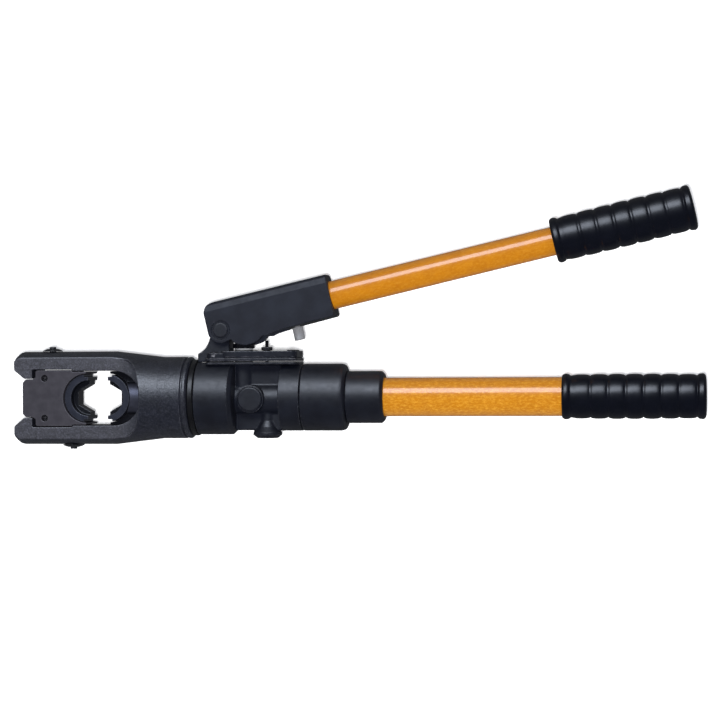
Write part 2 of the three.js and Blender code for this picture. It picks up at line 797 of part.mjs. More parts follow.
// The lever: two cheeks round the pivot and the drive pin, joined by a top web, and a tube socket.
function lever() {
  const shape = new THREE.Shape();
  shape.moveTo(-LEVER_EAR_R, 0);
  shape.absarc(0, 0, LEVER_EAR_R, Math.PI, 1.6 * Math.PI);
  for (const point of LEVER_UNDERSIDE) shape.lineTo(...point);
  shape.lineTo(LEVER_END, LEVER_TOP);
  shape.lineTo(10 - LEVER_EAR_R, LEVER_TOP);
  shape.absarc(10 - LEVER_EAR_R, LEVER_TOP - 10, 10, Math.PI / 2, Math.PI);
  let body = slab(shape, -LEVER_HALF, LEVER_HALF, 6).intersect(leverRounding());
  const half = LEVER_CAVITY_HALF;
  body = body.subtract(box(-20, SOCKET_FLOOR - 4, -25, LEVER_TOP - 6, -half, half));
  body = body.subtract(rod(LEVER_TUBE_R + GAP, SOCKET_FLOOR, 110, MEDIUM, "x", [0, LEVER_TUBE_ETA, 0]));
  body = body.subtract(rod(PIVOT_PIN_R + GAP, -20, 20, COARSE, "z"));
  const recess = rod(8.3, LEVER_HALF - 1, LEVER_HALF + 2, MEDIUM, "z");
  body = body.subtract(recess).subtract(recess.mirror([0, 0, 1]));
  body = body.subtract(rod(DRIVE_PIN_R + GAP, -16.5, 16.5, COARSE, "z", drivePinPlace()));
  return body.subtract(rod(STUD_SHANK_R + GAP, -15, -6.2, COARSE, "y", [STUD_XI, 0, 0]));
}

const LEVER_UNDERSIDE = [
  [7, -10],
  [10, -14.5],
  [18, -18.2],
  [25, -18.2],
  [31, -17],
  [35, -13.3],
  [39, -14.7],
  [43, -13.3],
  [60, -12],
  [LEVER_END, -11.2],
];

// A bar with its two upper edges bevelled, that trims the lever's outline.
function leverRounding() {
  const bevel = [
    [LEVER_HALF, -30],
    [LEVER_HALF, 18.6],
    [16.4, 23.6],
    [13.8, 25.6],
    [10, LEVER_TOP],
  ];
  const shape = polygon([...bevel, ...bevel.map(([z, y]) => [-z, y]).reverse()]);
  const options = { depth: 140, bevelEnabled: false };
  const geometry = new THREE.ExtrudeGeometry(shape, options);
  geometry.rotateY(Math.PI / 2);
  geometry.translate(-30, 0, 0);
  return toSolid(geometry);
}

// The drive pin's place in the lever's own frame.
function drivePinPlace() {
  const [dx, dy] = DRIVE_PIN_ARM;
  const [cos, sin] = [Math.cos(HANDLE_TILT), Math.sin(HANDLE_TILT)];
  return [dx * cos + dy * sin, dy * cos - dx * sin, 0];
}

function pivotPin() {
  const profile = [
    [-19.8, 0],
    [-19.8, PIVOT_PIN_R],
    [-19.1, PIVOT_PIN_R],
    [-19.1, PIVOT_PIN_R - 0.9],
    [-18, PIVOT_PIN_R - 0.9],
    [-18, PIVOT_PIN_R],
    [17.3, PIVOT_PIN_R],
    [17.3, 6.7],
    [18.6, 6.7],
    [19.2, 6],
    [19.2, 0],
  ];
  return turned(profile, MEDIUM, "z");
}

function pivotClip() {
  return ring(PIVOT_PIN_R - 0.6, 7.4, -18.9, -18.2, MEDIUM, "z");
}

function drivePin() {
  return rod(DRIVE_PIN_R, -16.2, 16.2, COARSE, "z", drivePinPlace());
}

// The stop stud under the lever: a bright grooved post on a screwed shank.
function stopStud() {
  const post = rod(4.7, -24, -12.4, MEDIUM, "y").add(rod(STUD_SHANK_R, -13, -6.6, COARSE, "y"));
  const groove = box(-1.9, 1.9, -25, -13.5, 3, 6);
  return post.subtract(groove).translate(STUD_XI, 0, 0);
}

// ---------------------------------------------------------------- assembly

const part = new THREE.Group();
const tool = new THREE.Group();
tool.position.set(...BASE_OFFSET);
part.add(tool);

const head = new THREE.Group();
tool.add(head);
add(head, "yoke", castBlack(), yoke());
add(head, "die_block", satinBrown(), dieBlock());
add(head, "block_screw_upper", darkSteel(), blockScrew(BLOCK_SCREW_Y));
add(head, "block_screw_lower", darkSteel(), blockScrew(-BLOCK_SCREW_Y));
add(head, "fixed_die", blueSteel(), die(FIXED_FACE, 1, FIXED_OFFSET));
add(head, "moving_die", blueSteel(), die(MOVING_FACE, -1, MOVING_OFFSET));
for (const latch of LATCHES) {
  add(head, "latch_bush_" + latch.name, darkSteel(), latchBush(latch));
  add(head, "latch_pin_" + latch.name, darkSteel(), latchPin(latch));
  add(head, "latch_spring_" + latch.name, brightSteel(), latchSpring(latch));
}
add(head, "ram", darkSteel(), ram());
add(head, "ram_guide_bush", bronze(), ring(RAM_R + GAP, BUSH_R, BUSH_FRONT, CYLINDER_FRONT - GAP, MEDIUM));
add(head, "piston", brightSteel(), piston());
add(head, "piston_seal", nitrile(), pistonSeal());
add(head, "return_spring", brightSteel(), spring(19.6, 1.7, -173.2, -148.2, 3));

const pump = new THREE.Group();
tool.add(pump);
const snapRing = ring(SNAP_OUTER_R - 2.8, SNAP_OUTER_R, SNAP_X - 1.2, SNAP_X + 1.2, FINE);
const swivelSeal = ring(CYLINDER_R + GAP, 33.7, HEAD_REAR + GAP, COLLAR_FRONT - GAP, FINE);
add(pump, "ram_cylinder", brightSteel(), cylinder());
add(pump, "spring_seat", darkSteel(), springSeat());
add(pump, "swivel_snap_ring", darkSteel(), snapRing);
add(pump, "swivel_seal", nitrile(), swivelSeal);
add(pump, "pump_body", satinBlack(), pumpBody());
add(pump, "valve_plug", satinBlack(), valvePlug());
add(pump, "lower_valve_plug", darkSteel(), lowerPlug());
add(pump, "check_valve_ball", brightSteel(), ball(2.8, VALVE_X, VALVE_Y, 12.2));
add(pump, "relief_valve_ball", brightSteel(), ball(3.2, LOWER_VALVE_X, -15.6, 0));
add(pump, "relief_valve_spring", brightSteel(), reliefSpring());
add(pump, "cover_gasket", nitrile(), gasket());
add(pump, "pump_cover", satinBlack(), cover());
COVER_SCREWS.forEach((screw, i) => add(pump, "cover_screw_" + (i + 1), darkSteel(), coverScrew(screw)));
add(pump, "pivot_bracket", satinBlack(), pivotBracket());
add(pump, "gland_nut", satinBlack(), glandNut());
add(pump, "plunger_seal", nitrile(), plungerSeal());
add(pump, "plunger", brightSteel(), plunger());
add(pump, "plunger_collar", darkSteel(), plungerCollar());
add(pump, "release_nut", darkSteel(), releaseNut());
add(pump, "release_pin", darkSteel(), releasePin());
add(pump, "release_spring", brightSteel(), releaseSpring());

const fixedHandle = new THREE.Group();
tool.add(fixedHandle);
const mainTube = tube(TUBE_R, 3, CAP_REAR + 3.4, GRIP_START + GRIP_DEPTH - 0.5);
add(fixedHandle, "reservoir_cap", satinBlack(), reservoirCap());
add(fixedHandle, "oil_bladder", nitrile(), oilBladder());
add(fixedHandle, "bladder_clamp", brightSteel(), bladderClamp());
add(fixedHandle, "handle_socket", satinBlack(), handleSocket());
add(fixedHandle, "main_tube", yellowFibre(), mainTube);
add(fixedHandle, "main_grip", blackRubber(), grip(GRIP_START, TUBE_R + GAP));

const movingHandle = new THREE.Group();
movingHandle.position.set(...PIVOT, 0);
movingHandle.rotation.z = HANDLE_TILT;
tool.add(movingHandle);
add(movingHandle, "lever", satinBlack(), lever());
add(movingHandle, "pivot_pin", darkSteel(), pivotPin());
add(movingHandle, "pivot_clip", brightSteel(), pivotClip());
add(movingHandle, "drive_pin", darkSteel(), drivePin());
add(movingHandle, "stop_stud", brightSteel(), stopStud());

const upperHandle = new THREE.Group();
upperHandle.position.y = LEVER_TUBE_ETA;
movingHandle.add(upperHandle);
const leverTube = tube(LEVER_TUBE_R, 2.8, SOCKET_FLOOR + 0.4, LEVER_GRIP_START + GRIP_DEPTH - 0.5);
add(upperHandle, "lever_tube", yellowFibre(), leverTube);
add(upperHandle, "lever_grip", blackRubber(), grip(LEVER_GRIP_START, LEVER_TUBE_R + GAP));

export default part;
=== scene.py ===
"""The looks of a hand-operated hydraulic crimping tool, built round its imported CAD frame.

Lengths are in millimetres in the tool's own frame: X along the tool from the head to the grips,
Y towards the moving handle, Z up, and the origin on the tool's axis. Cast and machined pieces are
drawn as signed distances and meshed, and round pieces are turned from a profile.
"""

import math

import bmesh
import bpy
import numpy as np
from mathutils import Euler, Matrix, Vector


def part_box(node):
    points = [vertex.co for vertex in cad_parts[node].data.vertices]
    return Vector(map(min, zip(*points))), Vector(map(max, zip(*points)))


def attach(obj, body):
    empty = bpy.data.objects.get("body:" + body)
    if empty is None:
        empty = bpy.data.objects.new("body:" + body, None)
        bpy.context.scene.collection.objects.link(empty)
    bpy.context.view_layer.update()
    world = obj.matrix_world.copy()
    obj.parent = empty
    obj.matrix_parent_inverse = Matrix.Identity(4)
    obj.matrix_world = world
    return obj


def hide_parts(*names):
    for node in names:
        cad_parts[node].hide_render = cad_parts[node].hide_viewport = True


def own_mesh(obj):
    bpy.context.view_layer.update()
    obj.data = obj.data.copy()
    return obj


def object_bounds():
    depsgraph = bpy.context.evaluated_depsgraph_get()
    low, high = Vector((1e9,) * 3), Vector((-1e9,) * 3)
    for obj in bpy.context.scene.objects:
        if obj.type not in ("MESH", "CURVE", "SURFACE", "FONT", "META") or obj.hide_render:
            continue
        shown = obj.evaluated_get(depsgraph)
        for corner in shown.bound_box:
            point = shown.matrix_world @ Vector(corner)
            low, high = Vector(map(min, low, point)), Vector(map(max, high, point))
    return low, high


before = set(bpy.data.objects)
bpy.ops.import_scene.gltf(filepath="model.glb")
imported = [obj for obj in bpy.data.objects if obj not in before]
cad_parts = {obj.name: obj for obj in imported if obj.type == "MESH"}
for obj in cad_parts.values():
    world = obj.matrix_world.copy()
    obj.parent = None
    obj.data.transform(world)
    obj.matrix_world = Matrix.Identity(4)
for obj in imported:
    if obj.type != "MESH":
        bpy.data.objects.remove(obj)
CAD_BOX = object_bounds()
MM = 0.001

# The play of a sliding fit.
CLEAR = 0.3

# ---- head
HEAD_END = -308.9
HEAD_REAR = -149.2
ARM_R = 41.4
NECK_R = 36.2
YOKE_OUTLINE = [
    (HEAD_END, 38), (-305.6, 40.8), (-303.5, ARM_R), (-218.6, ARM_R), (-175.6, NECK_R),
    (-155.1, NECK_R), (-154.7, 34.1), (-153.4, 34.1), (-153, 36.1), (-150.8, 36.1), (HEAD_REAR, 34.4),
]
# The flats end in an arc about FLAT_X, whose corners at FLAT_SIDE are rounded. Their pale milled colour
# gives way to the dark forging from the second to the first of FLAT_SHADE_FADE: painted shade towards the
# throat.
FLAT_Z = 20
FLAT_X = -250.8
FLAT_R = 60
FLAT_SIDE = 37
FLAT_CORNER = 12
FLAT_SHADE_FADE = (-196, -213)
# The mouth between the hooks: places along X and half its width there.
MOUTH = ([HEAD_END, -299.7], [25, 17.4])
MOUTH_REAR = -285
HOOK_FACE = -292.1
POCKET_Y = 25.5
SLOT_HALF = 24.1
SLOT_ROUND = -217.9
# Round bores along the head: radius, front and rear.
SPRING_BORE = (20.3, -193.7, -170)
CYLINDER_BORE = (29.3, -180.3, -140)
SNAP_RING_GROOVE = (31, -166.7, -163.3)
# Each latch: its name, its place along X, its side and its dome's radius.
LATCHES = [("upper", -278.5, 1, 9.0), ("lower", -259.5, -1, 9.6)]
LATCH_PIN_R = 3
# The latches' stepped holes: radius, and distance of the floor from the axis.
LATCH_HOLES = [(4.6, 29), (3.3, 20)]

# ---- end block
BLOCK_STEP = -255.4
BLOCK_END = -242.9
SCREW_X = -280.8
SCREW_Y = 17.7
SCREW_TOP = 17.2
SCREW_HOLE_R = 2.9
SCREW_HOLE_FLOOR = 14.5

# ---- dies and ram
# A die's round back is centred behind its working face by its offset.
DIE_R = 21.5
DIE_HALF = 16
DIE_BORE_R = 15.7
DIE_RIDGE = 8.2
DIE_FLATS = 21.2
DIE_NOTCH = 4
DIE_NOTCH_Y = 18.9
FIXED_FACE = -241.9
FIXED_OFFSET = 0
MOVING_FACE = -224
MOVING_OFFSET = 2
RAM_R = 16.1
RAM_END = -146.3
SADDLE_Z = 8
SADDLE_HALF = 23.8
SADDLE_GAP = 0.4
SADDLE_FRONT = MOVING_FACE + 0.1

# ---- pump
COLLAR_R = 32.8
COLLAR_FRONT = -143.7
COLLAR_REAR = -110.2
BODY_R = 29.5
BODY_REAR = -50.3
CYLINDER_SEAT = (27.3, -150, -127.7)
SPIGOT_R = 20
PAD_TOP = 31.1
PAD = (-135.6, -53, -21, 21)
WEB_FRONT = -112
WEB_REAR = -68
WEB_HALF_ABOVE = 7.0
WEB_HALF_BELOW = 4.6
CORE_Y = -1.1
CORE_R = 13.9
PLUNGER_X = -103.9
PLUNGER_R = 8
PLUNGER_BOSS_R = 10.6
PLUNGER_GLAND_R = 13.2
VALVE_X = -95.5
VALVE_Y = -1.3
VALVE_BOSS_R = 12.1
LOWER_VALVE_X = -82.7
# The lower valve's boss: places along Y and its radius there.
LOWER_VALVE_BOSS = ([-36, -35.6, -33, -31, -26, -20.4, -10], [9.4, 9.6, 12.8, 12.8, 8.8, 6.5, 6.5])
RELEASE_X = -83.2
RELEASE_PIN_R = 1.5
# Each screw of the cover: its place along X and Z, and the height of its top.
COVER_SCREWS = [(-127.5, -15.8, 40), (-127.5, 15.8, 40), (-59.5, -14.5, 41.9), (-59.5, 14.5, 41.9)]

# ---- handles
# The lever is drawn along its own axis from its pivot, and tilted when it is placed.
PIVOT = (-121.5, 59.5)
PIVOT_R = 5
PIVOT_BORE_R = 5.3
TILT = math.radians(13.09)
DRIVE_PIN = (
    17.6 * math.cos(TILT) - 5.6 * math.sin(TILT),
    -5.6 * math.cos(TILT) - 17.6 * math.sin(TILT),
)
STUD_X = 64.6
LEVER_Z = 18
LEVER_TOP = 26.4
LEVER_END = 101.5
LEVER_ROOM_Z = 11.7
LEVER_TUBE_Y = 7.5
LEVER_TUBE_R = 12.5
TUBE_R = 17
GRIP_LENGTH = 123.8
GRIP_DEPTH = 112
GRIP_START = 177.1
LEVER_GRIP_START = 301.3

# ---- meshes
SLOPE_REACH = 0.02
SETTLING_PASSES = 3
KEPT_SHARE = 0.3
CORNER_POINTS = 5

TOOL_AXIS = [(low + high) / 2 for low, high in zip(*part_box("main_tube"))]
ORIGIN = Vector((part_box("yoke")[0].x - HEAD_END * MM, TOOL_AXIS[1], TOOL_AXIS[2]))
TOOL = Matrix.Translation(ORIGIN)
LEVER = TOOL @ Matrix.Translation((PIVOT[0] * MM, PIVOT[1] * MM, 0)) @ Matrix.Rotation(TILT, 4, "Z")


def moved(matrix, x, y=0, z=0):
    return matrix @ Matrix.Translation((x * MM, y * MM, z * MM))


# ---------------------------------------------------------------- signed distances


def both(a, b, r=0.0):
    """What lies in a and in b, its edges rounded to r."""
    corner = np.hypot(np.maximum(r + a, 0), np.maximum(r + b, 0))
    return np.minimum(-r, np.maximum(a, b)) + corner


def either(a, b, r=0.0):
    """What lies in a or in b, with a fillet of radius r between them."""
    corner = np.hypot(np.maximum(r - a, 0), np.maximum(r - b, 0))
    return np.maximum(r, np.minimum(a, b)) - corner


def without(a, b, r=0.0):
    return both(a, -b, r)


def span(u, low, high):
    return np.abs(u - (low + high) / 2) - (high - low) / 2


def rod(u, v, radius):
    return np.hypot(u, v) - radius


def plate(u, v, low_u, high_u, low_v, high_v, r):
    """A rectangle with corners of radius r."""
    return both(span(u, low_u, high_u), span(v, low_v, high_v), r)


def outline(u, v, points):
    """A closed polygon."""
    nearest = np.inf
    inside = False
    for (au, av), (bu, bv) in zip(points, points[1:] + points[:1]):
        eu, ev = bu - au, bv - av
        along = np.clip(((u - au) * eu + (v - av) * ev) / (eu * eu + ev * ev), 0, 1)
        nearest = np.minimum(nearest, np.hypot(u - au - eu * along, v - av - ev * along))
        if ev:
            inside = inside ^ (((av > v) != (bv > v)) & (u < eu * (v - av) / ev + au))
    return np.where(inside, -nearest, nearest)


def hexagon(u, v, half):
    """A hexagon across whose flats is twice half, with corners along u."""
    u, v = np.abs(u), np.abs(v)
    return np.maximum(v, u * math.sin(math.pi / 3) + v / 2) - half


# ---------------------------------------------------------------- meshes


def slope(shape, points):
    """The gradient of a signed distance at each point."""
    found = np.empty_like(points)
    for axis, step in enumerate(np.eye(3) * SLOPE_REACH):
        ahead = shape(*(points + step).T)
        found[:, axis] = (ahead - shape(*(points - step).T)) / (2 * SLOPE_REACH)
    return found


def settled(shape, points, reach):
    """The points moved onto the surface, by at most reach at a time."""
    for _ in range(SETTLING_PASSES):
        ahead = slope(shape, points)
        steep = np.maximum((ahead * ahead).sum(1), 0.2)
        move = ahead * (shape(*points.T) / steep)[:, None]
        length = np.linalg.norm(move, axis=1, keepdims=True)
        points = points - move * np.minimum(1, reach / np.maximum(length, 1e-9))
    return points


def crossings(field, axis, strides):
    """Where the surface cuts the grid's edges along one axis, and the ring of four cells round each."""
    ahead = np.moveaxis(field, axis, 0)
    cut = np.moveaxis((ahead[:-1] < 0) != (ahead[1:] < 0), 0, axis)
    at = np.argwhere(cut)
    unit = np.eye(3, dtype=int)
    near, far = field[tuple(at.T)], field[tuple((at + unit[axis]).T)]
    point = at + unit[axis] * (near / (near - far))[:, None]
    u, v = unit[(axis + 1) % 3], unit[(axis + 2) % 3]
    ring = np.stack([at, at - u, at - u - v, at - v], 1) @ strides
    ring[near >= 0] = ring[near >= 0][:, ::-1]
    return point, ring


def surface_net(shape, low, high, step):
    """Corners and quads on a signed distance's surface, one corner in each cell that it crosses."""
    axes = [np.arange(a - 2.5 * step, b + 2.5 * step, step) for a, b in zip(low, high)]
    x, y, z = axes[0][:, None, None], axes[1][None, :, None], axes[2][None, None, :]
    field = shape(x, y, z) + np.zeros((len(axes[0]), len(axes[1]), len(axes[2])))
    strides = np.array([field.shape[1] * field.shape[2], field.shape[2], 1])
    found = [crossings(field, axis, strides) for axis in range(3)]
    points = np.concatenate([p for p, _ in found])
    rings = np.concatenate([r for _, r in found])
    _, cell = np.unique(rings.ravel(), return_inverse=True)
    cell = cell.ravel()
    count = np.bincount(cell)
    corners = [np.bincount(cell, np.repeat(points[:, i], 4)) / count for i in range(3)]
    start = np.array([a[0] for a in axes])
    return settled(shape, np.stack(corners, 1) * step + start, step / 2), cell.reshape(-1, 4)


def thinned(mesh):
    """The mesh with a share of its triangles."""
    carrier = bpy.data.objects.new("carrier", mesh)
    bpy.context.scene.collection.objects.link(carrier)
    carrier.modifiers.new("thin", "DECIMATE").ratio = KEPT_SHARE
    graph = bpy.context.evaluated_depsgraph_get()
    thin = bpy.data.meshes.new_from_object(carrier.evaluated_get(graph))
    bpy.data.objects.remove(carrier)
    return thin


def mesh_of(name, corners, faces):
    mesh = bpy.data.meshes.new(name)
    mesh.from_pydata(corners.tolist(), [], faces.tolist())
    mesh.validate()
    return mesh


def carved(name, shape, low, high, step):
    """A mesh, in metres, of a signed distance in millimetres."""
    mesh = thinned(mesh_of(name, *surface_net(shape, low, high, step)))
    points = np.empty(len(mesh.vertices) * 3)
    mesh.vertices.foreach_get("co", points)
    points = settled(shape, points.reshape(-1, 3), step / 2)
    normals = slope(shape, points)
    normals /= np.maximum(np.linalg.norm(normals, axis=1, keepdims=True), 1e-9)
    mesh.vertices.foreach_set("co", (points * MM).ravel())
    mesh.update()
    mesh.shade_smooth()
    mesh.normals_split_custom_set_from_vertices(normals.tolist())
    mesh.name = name
    return mesh


def soften(points, radius, closed=True):
    """The profile with each corner replaced by a short curve."""
    points = [np.array(p, float) for p in points]
    made = []
    for i, here in enumerate(points):
        if not closed and i in (0, len(points) - 1):
            made.append(here)
            continue
        before, after = points[i - 1] - here, points[(i + 1) % len(points)] - here
        reach = min(radius, np.linalg.norm(before) * 0.45, np.linalg.norm(after) * 0.45)
        a = here + before / np.linalg.norm(before) * reach
        b = here + after / np.linalg.norm(after) * reach
        for t in np.linspace(0, 1, CORNER_POINTS):
            made.append(a * (1 - t) ** 2 + here * 2 * t * (1 - t) + b * t * t)
    return np.array(made)


def turned(name, profile, axis, sides):
    """A mesh, in metres, of a closed profile of (along, radius) turned round an axis."""
    along, radius = np.array(profile, float).T
    angle = np.arange(sides) * 2 * math.pi / sides
    p = np.outer(np.cos(angle), radius)
    q = np.outer(np.sin(angle), radius)
    a = np.broadcast_to(along, p.shape)
    order = {"x": (a, p, q), "y": (q, a, p), "z": (p, q, a)}[axis]
    corners = np.stack(order, -1).reshape(-1, 3) * MM
    n = len(along)
    i, j = np.meshgrid(np.arange(sides), np.arange(n), indexing="ij")
    i2, j2 = (i + 1) % sides, (j + 1) % n
    faces = np.stack([i * n + j, i * n + j2, i2 * n + j2, i2 * n + j], -1).reshape(-1, 4)
    area = np.sum(along * np.roll(radius, -1) - np.roll(along, -1) * radius)
    mesh = mesh_of(name, corners, faces if area > 0 else faces[:, ::-1])
    mesh.shade_smooth()
    return mesh


def solid(profile, radius):
    """A profile that starts and ends on the axis, softened between its ends."""
    return soften(profile, radius, closed=False)


def coil(name, radius, wire, start, end, turns, axis):
    """A mesh, in metres, of a round wire wound from start to end round an axis."""
    steps, sides = turns * 24, 12
    angle = np.linspace(0, turns * 2 * math.pi, steps + 1)[:, None]
    around = np.arange(sides) * 2 * math.pi / sides
    a = np.linspace(start, end, steps + 1)[:, None] + wire * np.sin(around)
    reach = radius + wire * np.cos(around)
    p, q = reach * np.cos(angle), reach * np.sin(angle)
    corners = np.stack({"x": (a, p, q), "y": (q, a, p)}[axis], -1).reshape(-1, 3) * MM
    i, j = np.meshgrid(np.arange(steps), np.arange(sides), indexing="ij")
    j2 = (j + 1) % sides
    ring = [i * sides + j, i * sides + j2, (i + 1) * sides + j2, (i + 1) * sides + j]
    faces = np.stack(ring, -1).reshape(-1, 4).tolist()
    faces += [list(range(sides)), list(range(steps * sides, (steps + 1) * sides))]
    mesh = bpy.data.meshes.new(name)
    mesh.from_pydata(corners.tolist(), [], faces)
    work = bmesh.new()
    work.from_mesh(mesh)
    bmesh.ops.recalc_face_normals(work, faces=work.faces)
    work.to_mesh(mesh)
    work.free()
    mesh.shade_smooth()
    return mesh


# ---------------------------------------------------------------- placing


def piece(name, mesh, matrix, body, slot, material, *nodes):
    """A finished piece, in place, that stands for its CAD nodes."""
    made = bpy.data.objects.new(name, mesh)
    bpy.context.scene.collection.objects.link(made)
    made.matrix_world = matrix
    mesh.materials.append(material)
    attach(made, body)
    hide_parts(*nodes)
    return made


def lathe(name, profile, matrix, body, slot, material, *nodes, axis="x", sides=144):
    made = piece(name, turned(name, profile, axis, sides), matrix, body, slot, material, *nodes)
    made.modifiers.new("normals", "WEIGHTED_NORMAL").weight = 60
    return made


def box_of(node, matrix):
    """A CAD node's box in a piece's own frame, in millimetres, with a margin."""
    margin = 0.6
    inverse = matrix.inverted()
    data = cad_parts[node].data
    points = np.array([inverse @ v.co for v in data.vertices]) / MM
    return points.min(0) - margin, points.max(0) + margin


# ---------------------------------------------------------------- materials


def linear(colour):
    """A colour of 0 to 255 as a scene-linear RGBA."""
    share = [c / 255 for c in colour]
    return [c / 12.92 if c < 0.04045 else ((c + 0.055) / 1.055) ** 2.4 for c in share] + [1]


class Paint:
    """A Principled material and the nodes that feed it, with sizes in millimetres."""

    def __init__(self, name, **plain):
        self.material = bpy.data.materials.new(name)
        self.material.use_nodes = True
        self.tree = self.material.node_tree
        self.shader = self.tree.nodes["Principled BSDF"]
        for key, value in plain.items():
            self.shader.inputs[key.replace("_", " ")].default_value = value
        self.place = self.node("TexCoord").outputs["Object"]

    def feed(self, socket, value):
        if isinstance(value, bpy.types.NodeSocket):
            self.tree.links.new(value, socket)
        else:
            socket.default_value = value

    def node(self, kind, values=(), **settings):
        made = self.tree.nodes.new("ShaderNode" + kind)
        for key, value in settings.items():
            setattr(made, key, value)
        pairs = values.items() if isinstance(values, dict) else enumerate(values)
        for key, value in pairs:
            self.feed(made.inputs[key], value)
        return made

    def math(self, operation, *values):
        return self.node("Math", values, operation=operation).outputs[0]

    def noise(self, size, detail, roughness=0.5, place=None):
        values = {
            "Vector": place or self.place,
            "Scale": 1 / (size * MM),
            "Detail": detail,
            "Roughness": roughness,
        }
        return self.node("TexNoise", values).outputs[0]

    def stretched(self, x, y, z):
        """The place, with each axis scaled."""
        values = {"Vector": self.place, "Scale": (x, y, z)}
        return self.node("Mapping", values).outputs[0]

    def ramp(self, value, low, high, to_low=0.0, to_high=1.0):
        names = ["Value", "From Min", "From Max", "To Min", "To Max"]
        values = dict(zip(names, [value, low, high, to_low, to_high]))
        return self.node("MapRange", values).outputs[0]

    def blend(self, share, a, b):
        return self.node("Mix", {0: share, 6: a, 7: b}, data_type="RGBA").outputs[2]

    def edges(self, width):
        """1 on outer edges, 0 elsewhere."""
        values = {"Distance": width * MM}
        settings = {"samples": 4, "inside": True, "only_local": True}
        hidden = self.node("AmbientOcclusion", values, **settings).outputs["AO"]
        return self.ramp(hidden, 0.93, 0.62)

    def bump(self, height, depth, strength=1.0, under=None):
        values = {"Height": height, "Distance": depth * MM, "Strength": strength}
        if under is not None:
            values["Normal"] = under
        return self.node("Bump", values).outputs[0]

    def done(self, colour, roughness, normal):
        self.feed(self.shader.inputs["Base Color"], colour)
        self.feed(self.shader.inputs["Roughness"], roughness)
        self.feed(self.shader.inputs["Normal"], normal)
        return self.material


def painted(name, colour, light, rough, grain, depth, pale_edges, **plain):
    """Satin paint: faint patches, orange peel and grain, paler on its edges: worn paint, and where
    pale_edges is high, as on the cover, also a painted highlight.
    """
    patch = 14
    p = Paint(name, **plain)
    patches = p.ramp(p.noise(patch, 3), 0.35, 0.65)
    shade = p.blend(patches, linear(colour), linear(light))
    scuffs = p.ramp(p.noise(2.2, 4, 0.7), 0.45, 0.68)
    pale_edge_share = p.math("MULTIPLY", p.edges(0.9), scuffs)
    shade = p.blend(p.math("MULTIPLY", pale_edge_share, pale_edges), shade, linear((150, 150, 158)))
    roughness = p.ramp(p.noise(patch / 3, 3), 0.3, 0.7, rough - 0.05, rough + 0.06)
    peel = p.bump(p.noise(grain * 6, 1), depth * 2.2)
    return p.done(shade, roughness, p.bump(p.noise(grain, 3, 0.6), depth, under=peel))


def forged(name):
    """Shot-blasted forging under a thin dark coat: pits, grain, paler milled flats that darken towards the
    rear as painted shade, rubbed edges.
    """
    p = Paint(name, Metallic=0.0, Specular_IOR_Level=0.8)
    x, _, z = p.node("SeparateXYZ", [p.place]).outputs
    off_flat = p.math("ABSOLUTE", p.math("SUBTRACT", p.math("ABSOLUTE", z), FLAT_Z * MM))
    milled_shaded = p.ramp(off_flat, 0.4 * MM, 0.1 * MM)
    # Painted shade: the milled flats darken to the forging's coat towards the rear, where they run into
    # the throat.
    milled_shaded = p.math("MULTIPLY", milled_shaded, p.ramp(x, FLAT_SHADE_FADE[0] * MM, FLAT_SHADE_FADE[1] * MM))
    grain = p.noise(1.3, 4, 0.72)
    clouds = p.ramp(p.noise(9, 4, 0.6), 0.35, 0.68)
    coat = p.blend(clouds, linear((14, 17, 26)), linear((21, 24, 35)))
    flat = p.blend(clouds, linear((42, 42, 48)), linear((53, 53, 59)))
    shade = p.blend(milled_shaded, coat, flat)
    flecks = p.math("MULTIPLY", p.ramp(grain, 0.46, 0.7), p.ramp(milled_shaded, 0, 1, 0.3, 1))
    shade = p.blend(flecks, shade, linear((82, 83, 95)))
    pits = p.ramp(p.noise(2.4, 2, 0.5), 0.36, 0.28)
    shade = p.blend(p.math("MULTIPLY", pits, 0.7), shade, linear((26, 26, 30)))
    pale_edge_share = p.math("MULTIPLY", p.edges(1.0), p.ramp(p.noise(3.5, 4, 0.7), 0.38, 0.6))
    shade = p.blend(p.math("MULTIPLY", pale_edge_share, 0.3), shade, linear((140, 139, 148)))
    roughness = p.ramp(grain, 0.3, 0.7, 0.47, 0.33)
    coarse = p.bump(p.noise(3.2, 3, 0.6), 0.24)
    return p.done(shade, roughness, p.bump(grain, 0.15, under=coarse))


def machined(name, colour, light, rough, streak, metallic, pale_edges, painted_shade=None):
    """Ground and blackened steel: fine tool marks and bright edges, with painted shade, near black, where
    a shade mask is given.
    """
    p = Paint(name, Metallic=metallic)
    lines = p.noise(1, 3, 0.6, p.stretched(*streak))
    clouds = p.ramp(p.noise(7, 3), 0.35, 0.65)
    shade = p.blend(clouds, linear(colour), linear(light))
    pale_edge_share = p.math("MULTIPLY", p.edges(0.7), p.ramp(p.noise(1.8, 3, 0.6), 0.35, 0.6))
    if painted_shade:
        # Painted shade: near black where the mask lies, deep in a die's bore or on the ram's saddle plate.
        shade = p.blend(p.math("MULTIPLY", painted_shade(p), 0.88), shade, linear((9, 10, 15)))
    shade = p.blend(p.math("MULTIPLY", pale_edge_share, pale_edges), shade, linear((165, 165, 172)))
    roughness = p.ramp(lines, 0.3, 0.7, rough - 0.05, rough + 0.08)
    return p.done(shade, roughness, p.bump(lines, 0.008, 0.8))


def sunk(p, face, floor):
    """0 at a face's height from the middle plane, and 1 from there down to a floor's."""
    height = p.math("ABSOLUTE", p.node("SeparateXYZ", [p.place]).outputs["Z"])
    return p.ramp(height, face * MM, floor * MM)


